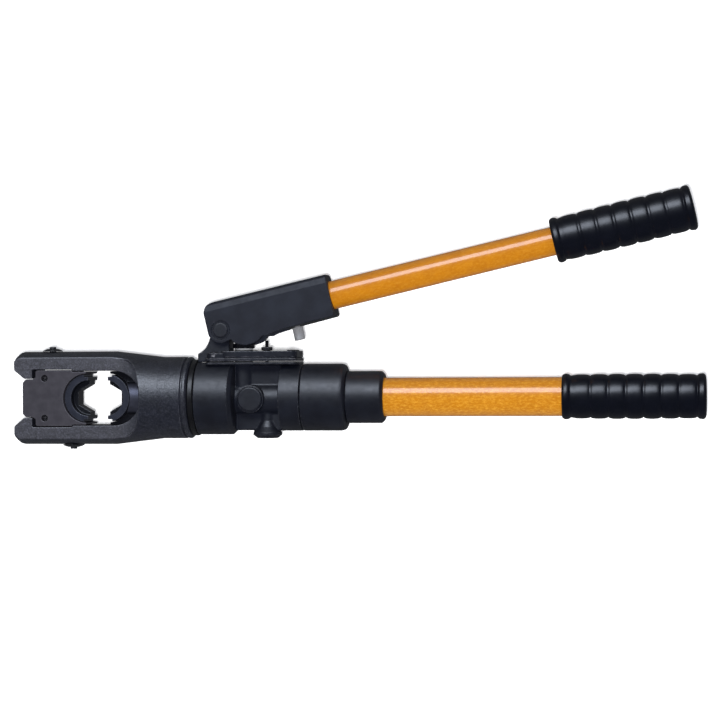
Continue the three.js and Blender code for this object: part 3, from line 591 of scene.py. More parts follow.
def bore_shade_mask(p):
    """1 deep in a die's bore, where shade is painted."""
    out = p.node("VectorMath", [p.stretched(1, 1, 0)], operation="LENGTH").outputs["Value"]
    within = p.ramp(out, (DIE_BORE_R + 2.2) * MM, (DIE_BORE_R + 1.2) * MM)
    return p.math("MULTIPLY", within, sunk(p, DIE_HALF - 0.8, DIE_HALF - 4))


def saddle_shade_mask(p):
    """1 on the saddle's plate beside the ram's round stem, where shade is painted."""
    return sunk(p, SADDLE_Z + 3, SADDLE_Z + 0.6)


def fibreglass(name, radius, weave):
    """Clear-coated wound fibre round X: two crossing sets of strands under the resin."""
    p = Paint(name, Coat_Weight=0.8, Coat_Roughness=0.06, Specular_IOR_Level=0.3)
    x, y, z = p.node("SeparateXYZ", [p.place]).outputs
    angle = p.math("ARCTAN2", y, z)
    strand_width = 1.5e-3
    pace = 2 * math.pi / strand_width
    lean = 0.7
    strands = []
    for way in (1, -1):
        wound = p.math("MULTIPLY", angle, way * round(radius * MM * pace * lean))
        phase = p.math("ADD", p.math("MULTIPLY", x, pace * lean), wound)
        wobble = p.math("MULTIPLY", p.noise(4, 2), 5.0)
        strands.append(p.math("SINE", p.math("ADD", phase, wobble)))
    cloth = p.math("MULTIPLY", strands[0], strands[1])
    fleck = p.noise(1.6, 4, 0.7, p.stretched(0.5, 1, 1))
    clouds = p.ramp(p.noise(11, 4, 0.6), 0.3, 0.7)
    shade = p.blend(clouds, linear((173, 103, 0)), linear((186, 116, 1)))
    flecks = p.math("MULTIPLY", p.ramp(fleck, 0.45, 0.75), weave)
    shade = p.blend(flecks, shade, linear((242, 184, 66)))
    crossings = p.math("MULTIPLY", p.ramp(cloth, 0.2, 1), weave * 0.5)
    shade = p.blend(crossings, shade, linear((248, 192, 76)))
    roughness = p.ramp(fleck, 0.3, 0.7, 0.3, 0.36)
    return p.done(shade, roughness, p.bump(fleck, 0.012))


def rubber(name):
    """Glossy moulded vinyl, blue-black, with a faint skin."""
    p = Paint(name, Specular_IOR_Level=0.5)
    clouds = p.ramp(p.noise(12, 3), 0.3, 0.7)
    shade = p.blend(clouds, linear((3, 5, 14)), linear((6, 8, 19)))
    dust = p.math("MULTIPLY", p.ramp(p.noise(3, 4, 0.7), 0.6, 0.8), 0.07)
    shade = p.blend(dust, shade, linear((36, 38, 50)))
    roughness = p.ramp(p.noise(9, 3), 0.3, 0.7, 0.3, 0.36)
    return p.done(shade, roughness, p.bump(p.noise(6, 1), 0.004))


def bright(name, colour, rough, streak):
    """Bare turned or drawn steel: fine bright tool marks."""
    p = Paint(name, Metallic=0.55)
    lines = p.noise(1, 4, 0.7, p.stretched(*streak))
    dark = [c * 0.72 for c in colour]
    shade = p.blend(p.ramp(lines, 0.3, 0.7), linear(dark), linear(colour))
    roughness = p.ramp(lines, 0.3, 0.7, rough - 0.04, rough + 0.06)
    return p.done(shade, roughness, p.bump(lines, 0.006))


FORGED = forged("forged_yoke")
SATIN = painted(
    "satin_black", (13, 15, 24), (18, 21, 31), 0.45, 0.5, 0.01, 0.4, Specular_IOR_Level=0.62
)
GLOSS = painted("gloss_black", (6, 7, 12), (10, 11, 17), 0.2, 0.6, 0.004, 0.15)
LEVER_PAINT = painted(
    "lever_black", (27, 29, 37), (32, 35, 44), 0.48, 0.6, 0.012, 0.3, Specular_IOR_Level=0.22
)
# The cover's edges are made far paler than the other paints': worn paint, and a painted highlight along
# its edges.
COVER_PAINT = painted("cover_black", (14, 16, 25), (19, 22, 32), 0.36, 0.5, 0.008, 0.95)
BLOCK = machined("block_steel", (56, 54, 61), (64, 62, 69), 0.42, (900, 60, 60), 0.25, 0.3)
DIE = machined("die_steel", (40, 43, 55), (48, 51, 63), 0.34, (60, 700, 60), 0.35, 0.35, bore_shade_mask)
DARK = machined("dark_steel", (28, 29, 34), (38, 39, 45), 0.32, (400, 400, 400), 0.5, 0.5)
RAM_STEEL = machined(
    "ram_steel", (60, 62, 74), (70, 72, 86), 0.42, (60, 700, 700), 0.6, 0.3, saddle_shade_mask
)
CHROME = bright("bright_steel", (215, 217, 222), 0.16, (60, 900, 60))
ZINC = bright("zinc_steel", (200, 201, 206), 0.42, (60, 900, 60))
BRONZE = bright("guide_bronze", (176, 132, 78), 0.3, (60, 700, 700))
NITRILE = painted("nitrile", (9, 9, 12), (14, 14, 17), 0.38, 0.4, 0.004, 0.0)
MAIN_FIBRE = fibreglass("yellow_fibre", TUBE_R, 0.55)
LEVER_FIBRE = fibreglass("yellow_fibre_lever", LEVER_TUBE_R, 0.22)
GRIP_RUBBER = rubber("black_rubber")

# ---------------------------------------------------------------- the head

RADII = soften(YOKE_OUTLINE, 0.4, closed=False).T


def yoke_window(x, y):
    """The open end between the hooks, the block's pocket and the ram's round-ended slot."""
    side = np.abs(y)
    mouth = both(side - np.interp(x, *MOUTH), x - MOUTH_REAR)
    pocket = plate(x, y, HOOK_FACE, BLOCK_STEP, -POCKET_Y, POCKET_Y, 1.2)
    slot = np.where(x < SLOT_ROUND, side, np.hypot(x - SLOT_ROUND, y)) - SLOT_HALF
    slot = np.maximum(slot, BLOCK_STEP - 2 - x)
    return either(either(mouth, pocket), slot, 0.4)


def yoke(x, y, z):
    """A round forging with two flats, opened between its arms and bored from behind."""
    rho = np.hypot(y, z)
    body = both(rho - np.interp(x, *RADII), span(x, HEAD_END, HEAD_REAR), 1.0)
    runout = np.minimum(x - FLAT_X, rod(x - FLAT_X, y, FLAT_R))
    runout = both(runout, np.abs(y) - FLAT_SIDE, FLAT_CORNER)
    body = without(body, both(runout, FLAT_Z - np.abs(z), 1.6), 0.9)
    body = without(body, yoke_window(x, y), 0.8)
    bores = both(rho - RAM_R - CLEAR, span(x, -215, -170))
    for radius, front, rear in (SPRING_BORE, CYLINDER_BORE, SNAP_RING_GROOVE):
        bores = np.minimum(bores, both(rho - radius, span(x, front, rear)))
    for _, at, side, _ in LATCHES:
        for radius, depth in LATCH_HOLES:
            bores = np.minimum(bores, both(rod(x - at, z, radius), depth - y * side))
    return without(body, bores, 0.4)


def die_block(x, y, z):
    """A plate with a hooked tongue, a round seat for the fixed die and two screw holes."""
    upper = [
        (-300.8, 13.9), (-297.8, 16.8), (-291.6, 16.8), (-289, 18.8), (-289, 23.4), (-287.6, 24.8),
        (-255.9, 24.8), (BLOCK_STEP, 23.5), (BLOCK_END, 23.5),
    ]
    section = outline(x, y, upper + [(u, -v) for u, v in reversed(upper)])
    seat = rod(x - FIXED_FACE - FIXED_OFFSET, y, DIE_R + CLEAR)
    body = both(without(section, seat, 0.4), np.abs(z) - FLAT_Z, 0.5)
    hole = both(rod(x - SCREW_X, np.abs(y) - SCREW_Y, SCREW_HOLE_R), SCREW_HOLE_FLOOR - z)
    return without(body, hole, 0.5)


def die(x, y, z, offset):
    """A die drawn from its working face, which looks towards +X."""
    around = rod(x - offset, y, 0)
    section = both(around - DIE_R, x, 0.5)
    body = both(section, np.abs(z) - DIE_HALF, 0.5)
    recess = both(around - DIE_BORE_R, DIE_RIDGE - np.abs(z), 1.2)
    body = without(body, recess, 0.5)
    body = without(body, hexagon(y, x, DIE_FLATS / 2), 0.35)
    notch = both(span(x, -DIE_NOTCH, DIE_NOTCH), DIE_NOTCH_Y - np.abs(y), 0.3)
    return without(body, notch, 0.35)


def ram(x, y, z):
    """A round stem under a flat saddle, which fills the slot and holds the moving die."""
    rounded = np.hypot(x - SLOT_ROUND + SADDLE_GAP, y)
    saddle = np.where(x < SLOT_ROUND - SADDLE_GAP, np.abs(y), rounded) - SADDLE_HALF
    saddle = both(saddle, SADDLE_FRONT - x)
    saddle = both(saddle, np.abs(z) - SADDLE_Z, 0.8)
    stem = both(rod(y, z, RAM_R), span(x, SADDLE_FRONT, RAM_END), 0.8)
    seat = rod(x - MOVING_FACE + MOVING_OFFSET, y, DIE_R + CLEAR)
    return without(either(saddle, stem, 1.0), seat, 0.3)


def socket_screw(radius, socket, depth):
    """A mesh of a socket screw's head, its top at z = 0."""
    socket_floor = -1.9

    def head(x, y, z):
        body = both(rod(x, y, radius), span(z, -depth, 0), 0.5)
        return without(body, both(hexagon(x, y, socket), socket_floor - z), 0.15)

    side = radius + 0.4
    return carved("socket_screw", head, (-side, -side, -depth - 0.5), (side, side, 0.8), 0.2)


def latch_pin(x, y, z):
    """A latch's pin with a cross slot in its end, drawn along Z."""
    body = both(rod(x, y, LATCH_PIN_R), span(z, 25.8, 45.7), 0.4)
    body = either(body, both(rod(x, y, 4.2), span(z, 29.3, 30.3), 0.1), 0.0)
    return without(body, both(span(x, -0.7, 0.7), 44.5 - z), 0.2)


def head_pieces():
    mesh = carved("yoke", yoke, *box_of("yoke", TOOL), 0.8)
    piece("yoke_forging", mesh, TOOL, "head", "cast_black", FORGED, "yoke")
    mesh = carved("die_block", die_block, *box_of("die_block", TOOL), 0.6)
    piece("die_block_ground", mesh, TOOL, "block", "block_steel", BLOCK, "die_block")
    half_turn = Matrix.Rotation(math.pi, 4, "Z")
    dies = [
        ("fixed_die", FIXED_OFFSET, moved(TOOL, FIXED_FACE)),
        ("moving_die", MOVING_OFFSET, moved(TOOL, MOVING_FACE) @ half_turn),
    ]
    for name, offset, at in dies:
        low, high = (-22, -22, -DIE_HALF - 0.5), (1, 22, DIE_HALF + 0.5)
        mesh = carved(name, lambda x, y, z: die(x, y, z, offset), low, high, 0.45)
        piece(name + "_half", mesh, at, name, "die_steel", DIE, name)
    mesh = carved("ram", ram, *box_of("ram", TOOL), 0.65)
    piece("ram_saddle", mesh, TOOL, "ram", "dark_steel", RAM_STEEL, "ram")


def block_screws():
    mesh = socket_screw(2.6, 1.5, 2.4)
    for side, sign in (("upper", 1), ("lower", -1)):
        at = moved(TOOL, SCREW_X, sign * SCREW_Y, SCREW_TOP)
        name = "block_screw_" + side
        piece(name + "_head", mesh.copy(), at, "block", "dark_steel", GLOSS, name)


def latches():
    pin = carved("latch_pin", latch_pin, (-5, -5, 25), (5, 5, 46.5), 0.3)
    for name, x, side, dome in LATCHES:
        at = moved(TOOL, x) @ Matrix.Rotation(-side * math.pi / 2, 4, "X")
        node = "latch_pin_" + name
        piece(node + "_end", pin.copy(), at, "latch_" + name, "dark_steel", DARK, node)
        seat = ARM_R + 0.2
        section = [
            (seat, 3.6), (seat, dome), (seat + 0.6, dome), (seat + 1.7, dome - 2.4),
            (seat + 2.4, 4.8), (seat + 2.4, 3.6),
        ]
        bush = "latch_bush_" + name
        lathe(bush + "_dome", soften(section, 0.9), at, "head", "dark_steel", GLOSS, bush, axis="z")


# ---------------------------------------------------------------- the pump


def pump_bores(x, y, z, rho):
    """The cylinder's seat, the plunger's bore, the holes of both valves and the release pin's."""
    radius, front, rear = CYLINDER_SEAT
    plunger = np.hypot(x - PLUNGER_X, z)
    lower = np.hypot(x - LOWER_VALVE_X, z)
    bores = both(rho - radius, span(x, front, rear))
    bores = np.minimum(bores, both(plunger - PLUNGER_R - CLEAR, span(y, 8, 40)))
    bores = np.minimum(bores, both(rod(x - VALVE_X, y - VALVE_Y, 7.3), span(z, 9, 22)))
    bores = np.minimum(bores, both(lower - 4.3, span(y, -30, -12)))
    bores = np.minimum(bores, both(lower - 5.6, span(y, -40, -29.6)))
    return np.minimum(bores, both(np.hypot(x - RELEASE_X, z) - 3.2, span(y, 12, 40)))


def pump_body(x, y, z):
    """A collar and a round rear joined by a core and a web, with bosses and a flat pad on top."""
    rho = np.hypot(y, z)
    between = span(x, WEB_FRONT, WEB_REAR)
    half = np.where(y > 0, WEB_HALF_ABOVE, WEB_HALF_BELOW)
    web = both(rho - 29.2, np.maximum(np.abs(z) - half, between), 1.0)
    core = both(rod(y - CORE_Y, z, CORE_R), between)
    body = either(web, core, 1.0)
    boss = both(rod(x - PLUNGER_X, z, PLUNGER_BOSS_R), span(y, 5, 30.1))
    body = either(body, boss, 0.9)
    foot = np.hypot(x - LOWER_VALVE_X, z) - np.interp(y, *LOWER_VALVE_BOSS)
    body = either(body, both(foot, span(y, -36, -10), 0.7), 1.0)
    radius = np.interp(x, [-113.6, COLLAR_REAR], [COLLAR_R, BODY_R])
    collar = both(rho - radius, span(x, COLLAR_FRONT, COLLAR_REAR), 0.9)
    rear = both(rho - BODY_R, span(x, WEB_REAR - 1, BODY_REAR), 0.8)
    body = either(either(body, collar, 1.0), rear, 1.0)
    valve = both(rod(x - VALVE_X, y - VALVE_Y, VALVE_BOSS_R), np.abs(z) - 17, 0.5)
    body = either(body, valve, 0.8)
    body = np.maximum(body, both(y - PAD_TOP, x + 50))
    pad = both(plate(x, z, *PAD, 5), span(y, PAD_TOP - 1.8, PAD_TOP), 0.4)
    body = either(body, pad, 0.6)
    body = either(body, both(rho - SPIGOT_R, span(x, -60, -37.5), 0.5))
    return without(body, pump_bores(x, y, z, rho), 0.3)


def pump_cover(x, y, z):
    """A stepped cover: a thin flange, a wall set in from it, and the raised rear part."""
    flange = both(plate(x, z, *PAD, 5), span(y, 32.1, 34.6), 0.4)
    wall = both(plate(x, z, -134.2, -54.2, -19.7, 19.7, 5), span(y, 33, 39.2), 0.6)
    raised = both(plate(x, z, -121.5, -53.4, -20.6, 20.6, 6), span(y, 35.4, 41), 0.6)
    body = either(either(flange, wall, 0.15), raised, 0.15)
    slot = both(span(x, -150, -114.5), np.abs(z) - 11.3)
    body = without(body, slot, 0.4)
    for at, radius in ((PLUNGER_X, 9.6), (RELEASE_X, 3.6)):
        body = without(body, rod(x - at, z, radius), 0.3)
    body = without(body, both(rod(x - PLUNGER_X, z, PLUNGER_GLAND_R), 38 - y), 0.4)
    for at, across, _ in COVER_SCREWS:
        body = without(body, both(rod(x - at, z - across, 3.4), 36 - y), 0.4)
    return body


def pivot_bracket(x, y, z):
    """A foot on the collar that sweeps up to an ear round the pivot pin."""
    u, v = PIVOT
    arc = np.linspace(-0.7, math.pi, 24)
    ear = [(u + 8.9 * math.cos(a), v + 8.9 * math.sin(a)) for a in arc]
    t = np.linspace(0, 1, 8)[1:]
    points = [(-132.2, 54), (-134.6, 44.2), (-140, 40.4)]
    weights = [((1 - s) ** 2, 2 * s * (1 - s), s * s) for s in t]
    sweep = [tuple(sum(w * p[i] for w, p in zip(row, points)) for i in (0, 1)) for row in weights]
    section = [(-143.3, 31.4), (-115, 31.4), (-115, v - 5.7), *ear, points[0], *sweep, (-143.3, 38.8)]
    body = both(outline(x, y, section), np.abs(z) - 11, 1.2)
    body = without(body, rod(x - u, y - v, PIVOT_BORE_R), 0.3)
    body = without(body, both(rod(x - PLUNGER_X, z, 10.2), 43 - y), 0.3)
    return without(body, both(rod(x - PLUNGER_X, z, PLUNGER_GLAND_R), span(y, 37.9, 43.6)), 0.3)


def plunger(x, y, z):
    """A ground rod with a cross slot for the drive pin, drawn along Y."""
    body = both(rod(x, z, PLUNGER_R), span(y, 12, 61.2), 0.9)
    slot = plate(x, y, -5.1, 5.1, 50.1, 57.7, 3.4)
    return without(body, slot, 0.3)


def release_nut(x, y, z):
    """A chamfered hexagon nut on a threaded neck, drawn along Y."""
    nut = both(hexagon(x, z, 5.05 * math.cos(math.pi / 6)), span(y, 41.4, 44.5), 0.4)
    nut = both(nut, np.hypot(x, z) + y * 0.6 - 31.5, 0.1)
    nut = either(nut, both(rod(x, z, 3.1), span(y, 33, 41.8)))
    return without(nut, rod(x, z, 1.8), 0.3)


def pump_pieces():
    satin = ("pump", "satin_black", SATIN)
    mesh = carved("pump_body", pump_body, *box_of("pump_body", TOOL), 0.7)
    piece("pump_casting", mesh, TOOL, *satin, "pump_body")
    mesh = carved("pump_cover", pump_cover, *box_of("pump_cover", TOOL), 0.5)
    piece("cover_casting", mesh, TOOL, "pump", "satin_black", COVER_PAINT, "pump_cover")
    mesh = carved("pivot_bracket", pivot_bracket, *box_of("pivot_bracket", TOOL), 0.5)
    piece("bracket_casting", mesh, TOOL, *satin, "pivot_bracket")
    at = moved(TOOL, PLUNGER_X)
    mesh = carved("plunger", plunger, (-8.5, 11.5, -8.5), (8.5, 61.7, 8.5), 0.4)
    piece("plunger_rod", mesh, at, "plunger", "bright_steel", CHROME, "plunger")
    at = moved(TOOL, RELEASE_X)
    mesh = carved("release_nut", release_nut, (-6, 32, -6), (6, 45, 6), 0.25)
    piece("release_nut_hex", mesh, at, "pump", "dark_steel", DARK, "release_nut")


def cover_screws():
    mesh = socket_screw(3, 1.6, 5)
    for i, (x, z, top) in enumerate(COVER_SCREWS):
        at = moved(TOOL, x, top, z) @ Matrix.Rotation(-math.pi / 2, 4, "X")
        name = f"cover_screw_{i + 1}"
        piece(name + "_head", mesh.copy(), at, "pump", "dark_steel", DARK, name)


def pump_rounds():
    section = [(-148.9, 29.3), (-148.9, 33.2), (-148.2, 33.7), (-144.7, 33.7), (-144, 33.2), (-144, 29.3)]
    lathe("swivel_seal_ring", soften(section, 0.5), TOOL, "pump", "nitrile", NITRILE, "swivel_seal")
    at = moved(TOOL, VALVE_X, VALVE_Y)
    section = [(15.5, 0), (15.5, 7), (17.3, 7), (17.3, 10.9), (19.1, 10.9), (20, 9.9), (20, 0)]
    lathe("valve_plug_cap", solid(section, 0.8), at, "pump", "satin_black", SATIN, "valve_plug", axis="z")
    at = moved(TOOL, LOWER_VALVE_X)
    section = [(-35.4, 2.2), (-35.4, 5.3), (-29.9, 5.3), (-29.9, 0), (-32.4, 0), (-32.6, 2.2)]
    lathe("lower_plug", soften(section, 0.4), at, "pump", "dark_steel", DARK, "lower_valve_plug", axis="y")
    at = moved(TOOL, PLUNGER_X)
    section = [(38.3, 8.3), (38.3, 12.8), (41, 12.8), (41.6, 12.2), (41.6, 9), (41, 8.3)]
    lathe("gland_nut_ring", soften(section, 0.6), at, "pump", "satin_black", SATIN, "gland_nut", axis="y")
    section = [(43.4, 8.1), (43.4, 9.1), (44, 9.7), (47, 9.7), (47.6, 9.1), (47.6, 8.1)]
    sleeve = ("plunger", "dark_steel", GLOSS, "plunger_collar")
    lathe("plunger_collar_ring", soften(section, 0.4), at, *sleeve, axis="y")
    r = RELEASE_PIN_R
    section = [
        (22, 0), (22, r), (27.4, r), (27.4, 2.7), (29, 2.7), (29, r), (49.7, r), (50.4, 0.9), (50.4, 0),
    ]
    at = moved(TOOL, RELEASE_X)
    pin = ("release", "dark_steel", GLOSS, "release_pin")
    lathe("release_pin_rod", solid(section, 0.4), at, *pin, axis="y", sides=48)


# ---------------------------------------------------------------- handles


def lever_outline():
    """The lever's side view: the ear round the pivot, the curved underside and the shoulder."""
    ear = [(11.5 * math.cos(a), 11.5 * math.sin(a)) for a in np.linspace(math.pi, 1.6 * math.pi, 20)]
    under = [
        (7, -10), (10, -14.5), (18, -18.2), (25, -18.2), (31, -17), (35, -13.3), (39, -14.7),
        (43, -13.3), (60, -12), (LEVER_END, -11.2),
    ]
    arc = np.linspace(math.pi / 2, math.pi, 16)
    shoulder = [(-1.5 + 10 * math.cos(a), 16.4 + 10 * math.sin(a)) for a in arc]
    body = [tuple(p) for p in soften([*under, (LEVER_END, LEVER_TOP)], 2.5, closed=False)]
    return ear + body + shoulder


LEVER_SIDE = lever_outline()
LEVER_BEVEL = [
    (-40, -60), (-40, LEVER_Z), (18.6, LEVER_Z), (23.6, 16.4), (25.6, 13.8), (LEVER_TOP, 10),
    (LEVER_TOP, -60),
]


def lever(x, y, z):
    """The lever along its own axis: two cheeks, a bevelled top web and the tube's socket."""
    side = np.abs(z)
    body = both(outline(x, y, LEVER_SIDE), outline(y, side, LEVER_BEVEL), 0.9)
    room = both(span(x, -20, 57), both(span(y, -25, 20.4), side - LEVER_ROOM_Z))
    body = without(body, room, 0.5)
    body = without(body, both(rod(y - LEVER_TUBE_Y, z, LEVER_TUBE_R + CLEAR), span(x, 61, 110)), 0.7)
    body = without(body, rod(x, y, PIVOT_BORE_R), 0.3)
    body = without(body, both(rod(x, y, 8.3), LEVER_Z - 1 - side), 0.5)
    body = without(body, both(rod(x - DRIVE_PIN[0], y - DRIVE_PIN[1], 3.8), side - 16.5))
    return without(body, both(rod(x - STUD_X, z, 2.8), span(y, -15, -6.2)), 0.2)


def stop_stud(x, y, z):
    """A bright post with a groove down its face, on a screwed shank, drawn along Y."""
    post = both(rod(x, z, 4.7), span(y, -24, -12.4), 0.6)
    post = either(post, both(rod(x, z, 2.5), span(y, -13, -6.6), 0.3))
    groove = both(span(x, -1.9, 1.9), both(3 - z, y + 13.5), 0.3)
    return without(post, groove, 0.4)


def lever_pieces():
    mesh = carved("lever", lever, *box_of("lever", LEVER), 0.7)
    piece("lever_casting", mesh, LEVER, "lever", "satin_black", LEVER_PAINT, "lever")
    mesh = carved("stop_stud", stop_stud, (-5.2, -24.5, -5.2), (5.2, -6, 5.2), 0.3)
    piece("stop_stud_post", mesh, moved(LEVER, STUD_X), "lever", "bright_steel", ZINC, "stop_stud")
    r = PIVOT_R
    section = [
        (-19.8, 0), (-19.8, r), (-19.1, r), (-19.1, 4.1), (-18, 4.1), (-18, r), (17.3, r), (17.3, 6.7),
        (18.5, 6.7), (19.2, 5.9), (19.2, 0),
    ]
    pin = ("lever", "dark_steel", SATIN, "pivot_pin")
    lathe("pivot_pin_turned", solid(section, 0.5), LEVER, *pin, axis="z")
    section = [(-18.9, 4.4), (-18.9, 7.4), (-18.2, 7.4), (-18.2, 4.4)]
    clip = ("lever", "bright_steel", ZINC, "pivot_clip")
    lathe("pivot_clip_ring", soften(section, 0.15), LEVER, *clip, axis="z")


def handle_rounds():
    satin = ("pump", "satin_black", SATIN)
    section = [
        (-50, 24.9), (-50, 28.7), (-49.2, BODY_R), (-15.5, BODY_R), (-12.4, 28.6), (-11, 25.6),
        (-11, 20.3), (-18, 20.3), (-18, 24.9),
    ]
    lathe("reservoir_cap_turned", soften(section, 1.2), TOOL, *satin, "reservoir_cap")
    section = [
        (-17.5, 15), (-17.5, 20), (-10.7, 20), (-10.7, 22.9), (19.6, 22.9), (22.2, 20.3), (22.2, 17.3),
        (-8, 17.3), (-8, 15),
    ]
    lathe("handle_socket_turned", soften(section, 1.0), TOOL, *satin, "handle_socket")
    wound = ("yellow_fibre", MAIN_FIBRE)
    end = GRIP_START + GRIP_DEPTH
    tube("main_tube_wound", TUBE_R, 3, -7.6, end, TOOL, "pump", *wound, "main_tube")
    axis = moved(LEVER, 0, LEVER_TUBE_Y)
    end = LEVER_GRIP_START + GRIP_DEPTH
    wound = ("lever", "yellow_fibre", LEVER_FIBRE, "lever_tube")
    tube("lever_tube_wound", LEVER_TUBE_R, 2.8, 61.4, end, axis, *wound)
    grip("main_grip_moulded", GRIP_START, TUBE_R + CLEAR, TOOL, "pump", "main_grip")
    grip("lever_grip_moulded", LEVER_GRIP_START, LEVER_TUBE_R + CLEAR, axis, "lever", "lever_grip")


def tube(name, radius, wall, start, end, *place):
    """A straight tube along X."""
    section = [(start, radius - wall), (start, radius), (end, radius), (end, radius - wall)]
    lathe(name, soften(section, 0.4), *place)


def grip(name, start, bore, matrix, body, node):
    """A rolled mouth, seven barrels between narrow valleys, and a flanged closed end."""
    valley, flange, segment, barrels = 18.1, 9.2, 15.2, 7
    bottom = start + GRIP_DEPTH + 0.5
    mouth = [
        (start, bore), (start, 18.2), (start + 1.4, 19.5), (start + 3.6, 20), (start + 6, 19.5),
        (start + 7.6, 18.2),
    ]
    profile = [tuple(p) for p in soften(mouth, 1.2, closed=False)]
    for i in range(barrels):
        crest = 19.1 + 0.5 * math.sin(math.pi * (i + 0.5) / barrels)
        for t in np.linspace(0.0, 1.0, 15)[1:-1]:
            rise = (1 - abs(2 * t - 1) ** 2.6) ** 0.6
            profile.append((start + flange + (i + t) * segment, valley + (crest - valley) * rise))
        profile.append((start + flange + (i + 1) * segment, valley - 0.1))
    end = start + GRIP_LENGTH
    cap = [(end - 7.8, 18.2), (end - 6.2, 19.6), (end - 2.2, 19.9), (end - 0.5, 18.2), (end, 15), (end, 0)]
    profile += [tuple(p) for p in soften(cap, 1.6, closed=False)]
    profile += [(bottom, 0), (bottom, bore)]
    lathe(name, profile, matrix, body, "black_rubber", GRIP_RUBBER, node)


# ---------------------------------------------------------------- springs


def squeezed(node, mesh, at, body, joint, axis, seated, travel, length):
    """A coil, placed on its body with a mesh of its own."""
    made = piece(node + "_coil", mesh, moved(TOOL, *at), body, "bright_steel", ZINC, node)
    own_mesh(made)


def springs():
    mesh = coil("return_spring", 19.6, 1.7, -173.2, -148.2, 3, "x")
    seated = (-146.5, 0, 0)
    squeezed("return_spring", mesh, (0,), "ram", "ram_slide", (1, 0, 0), seated, 17.5, 28.4)
    for name, x, side, _ in LATCHES:
        node = "latch_spring_" + name
        mesh = coil(node, 3.85, 0.35, side * 31, side * 41, 4, "y")
        place = ("head", f"latch_{name}_pull", (0, 1, 0), (x, side * 41.35, 0))
        squeezed(node, mesh, (x,), *place, 3, 10.7)
    mesh = coil("release_spring", 2.3, 0.35, 12.7, 26.7, 5, "y")
    place = ("pump", "release_press", (0, 1, 0), (RELEASE_X, 12.35, 0))
    squeezed("release_spring", mesh, (RELEASE_X,), *place, 3.5, 14.7)


# ---------------------------------------------------------------- carried-over CAD nodes

INNER = {
    "spring_seat": DARK, "swivel_snap_ring": DARK, "ram_cylinder": CHROME, "piston": CHROME,
    "piston_seal": NITRILE, "ram_guide_bush": BRONZE, "check_valve_ball": CHROME,
    "relief_valve_ball": CHROME, "relief_valve_spring": ZINC, "cover_gasket": NITRILE,
    "plunger_seal": NITRILE, "oil_bladder": NITRILE, "bladder_clamp": ZINC, "drive_pin": DARK,
}


def carried_nodes():
    for name, material in INNER.items():
        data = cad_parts[name].data
        data.materials.clear()
        data.materials.append(material)


# ---------------------------------------------------------------- the studio

CAMERA_AIM = (0, 32.6, 0)
CAMERA_TURN = math.radians(8)
CAMERA_ROLL = math.radians(-0.295)
CAMERA_AWAY = 1.848
CAMERA_LENS = 105
# Lights: width, height and watts, and the place in metres from the middle of the tool.
SOFTBOX = (1.3, 0.7, 22)
SOFTBOX_AT = (-0.12, 0.9, 1.1)
OVERHEAD = (0.14, 0.14, 36)
OVERHEAD_AT = (0.2, -0.06, 1.85)
# Strengths of the backdrop as the camera, matte surfaces and glossy surfaces see it.
SEEN = 0.96
MATTE = 0.46
GLOSSY_BELOW = 0.13
GLOSSY_ABOVE = 0.07


def camera():
    """Over the tool, leaning towards the grips."""
    data = bpy.data.cameras.new("camera")
    data.lens = CAMERA_LENS
    data.sensor_width = 36
    data.clip_end = 50
    made = bpy.data.objects.new("camera", data)
    bpy.context.scene.collection.objects.link(made)
    back = Vector((math.sin(CAMERA_TURN), 0, math.cos(CAMERA_TURN)))
    made.location = ORIGIN + Vector(CAMERA_AIM) * MM + back * CAMERA_AWAY
    turn = Euler((0, CAMERA_TURN, 0)).to_matrix() @ Matrix.Rotation(CAMERA_ROLL, 3, "Z")
    made.rotation_euler = turn.to_euler()
    bpy.context.scene.camera = made


def area(name, width, height, power):
    data = bpy.data.lights.new(name, "AREA")
    data.shape = "RECTANGLE"
    data.size = width
    data.size_y = height
    data.energy = power
    return data


def light(data, at, unseen):
    """Puts a light in its place, looking at the middle of the tool, hidden from one kind of ray."""
    made = bpy.data.objects.new(data.name, data)
    bpy.context.scene.collection.objects.link(made)
    made.location = ORIGIN + Vector(at)
    made.rotation_euler = (-Vector(at)).to_track_quat("-Z", "Y").to_euler()
    made.visible_camera = False
    setattr(made, unseen, False)


def softbox():
    """A wide light over the far side of the tool, which only its glossy surfaces see."""
    data = area("top_box", *SOFTBOX)
    data.color = (0.8, 0.87, 1)
    light(data, SOFTBOX_AT, "visible_diffuse")


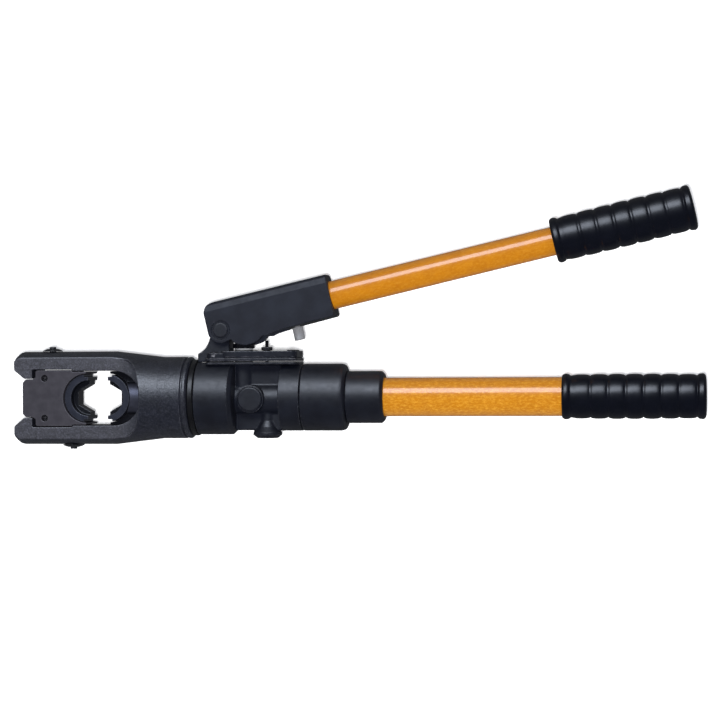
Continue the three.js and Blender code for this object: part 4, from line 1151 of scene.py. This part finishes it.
def overhead():
    """A small light near the camera, which glossy surfaces don't see: its shadows stay narrow."""
    light(area("overhead", *OVERHEAD), OVERHEAD_AT, "visible_glossy")


def floor():
    """Pale paper that glows faintly, so that it stays pale far from the lights."""
    bpy.ops.mesh.primitive_plane_add(size=30, location=(0, 0, CAD_BOX[0].z - 0.0002))
    made = bpy.context.object
    made.name = "floor"
    made.visible_glossy = False
    paper = Paint("paper", Specular_IOR_Level=0.1, Emission_Color=(1, 1, 1, 1), Emission_Strength=0.3)
    shade = paper.blend(paper.noise(400, 2), linear((246, 246, 247)), linear((250, 250, 251)))
    made.data.materials.append(paper.done(shade, 0.9, paper.bump(paper.noise(2, 2), 0.01)))


def map_range(nodes, values):
    made = nodes.new("ShaderNodeMapRange")
    for key, value in values.items():
        made.inputs[key].default_value = value
    return made


def studio():
    """A pale backdrop: glossy rays see a dim room that is brighter below, where the floor would be."""
    scene = bpy.context.scene
    scene.view_settings.view_transform = "Standard"
    world = bpy.data.worlds.new("studio")
    scene.world = world
    world.use_nodes = True
    nodes, links = world.node_tree.nodes, world.node_tree.links
    back = nodes["Background"]
    back.inputs["Color"].default_value = (0.92, 0.95, 1, 1)
    place = nodes.new("ShaderNodeTexCoord").outputs["Generated"]
    height = nodes.new("ShaderNodeSeparateXYZ")
    links.new(place, height.inputs[0])
    values = {"From Min": -0.3, "From Max": 0.05, "To Min": GLOSSY_BELOW, "To Max": GLOSSY_ABOVE}
    room = map_range(nodes, values)
    links.new(height.outputs["Z"], room.inputs["Value"])
    rays = nodes.new("ShaderNodeLightPath").outputs
    matte = map_range(nodes, {"To Min": MATTE})
    links.new(rays["Is Glossy Ray"], matte.inputs["Value"])
    links.new(room.outputs[0], matte.inputs["To Max"])
    seen = map_range(nodes, {"To Max": SEEN})
    links.new(rays["Is Camera Ray"], seen.inputs["Value"])
    links.new(matte.outputs[0], seen.inputs["To Min"])
    links.new(seen.outputs[0], back.inputs["Strength"])
    softbox()
    overhead()
    floor()
    camera()


head_pieces()
block_screws()
latches()
pump_pieces()
cover_screws()
pump_rounds()
lever_pieces()
handle_rounds()
springs()
carried_nodes()
studio()
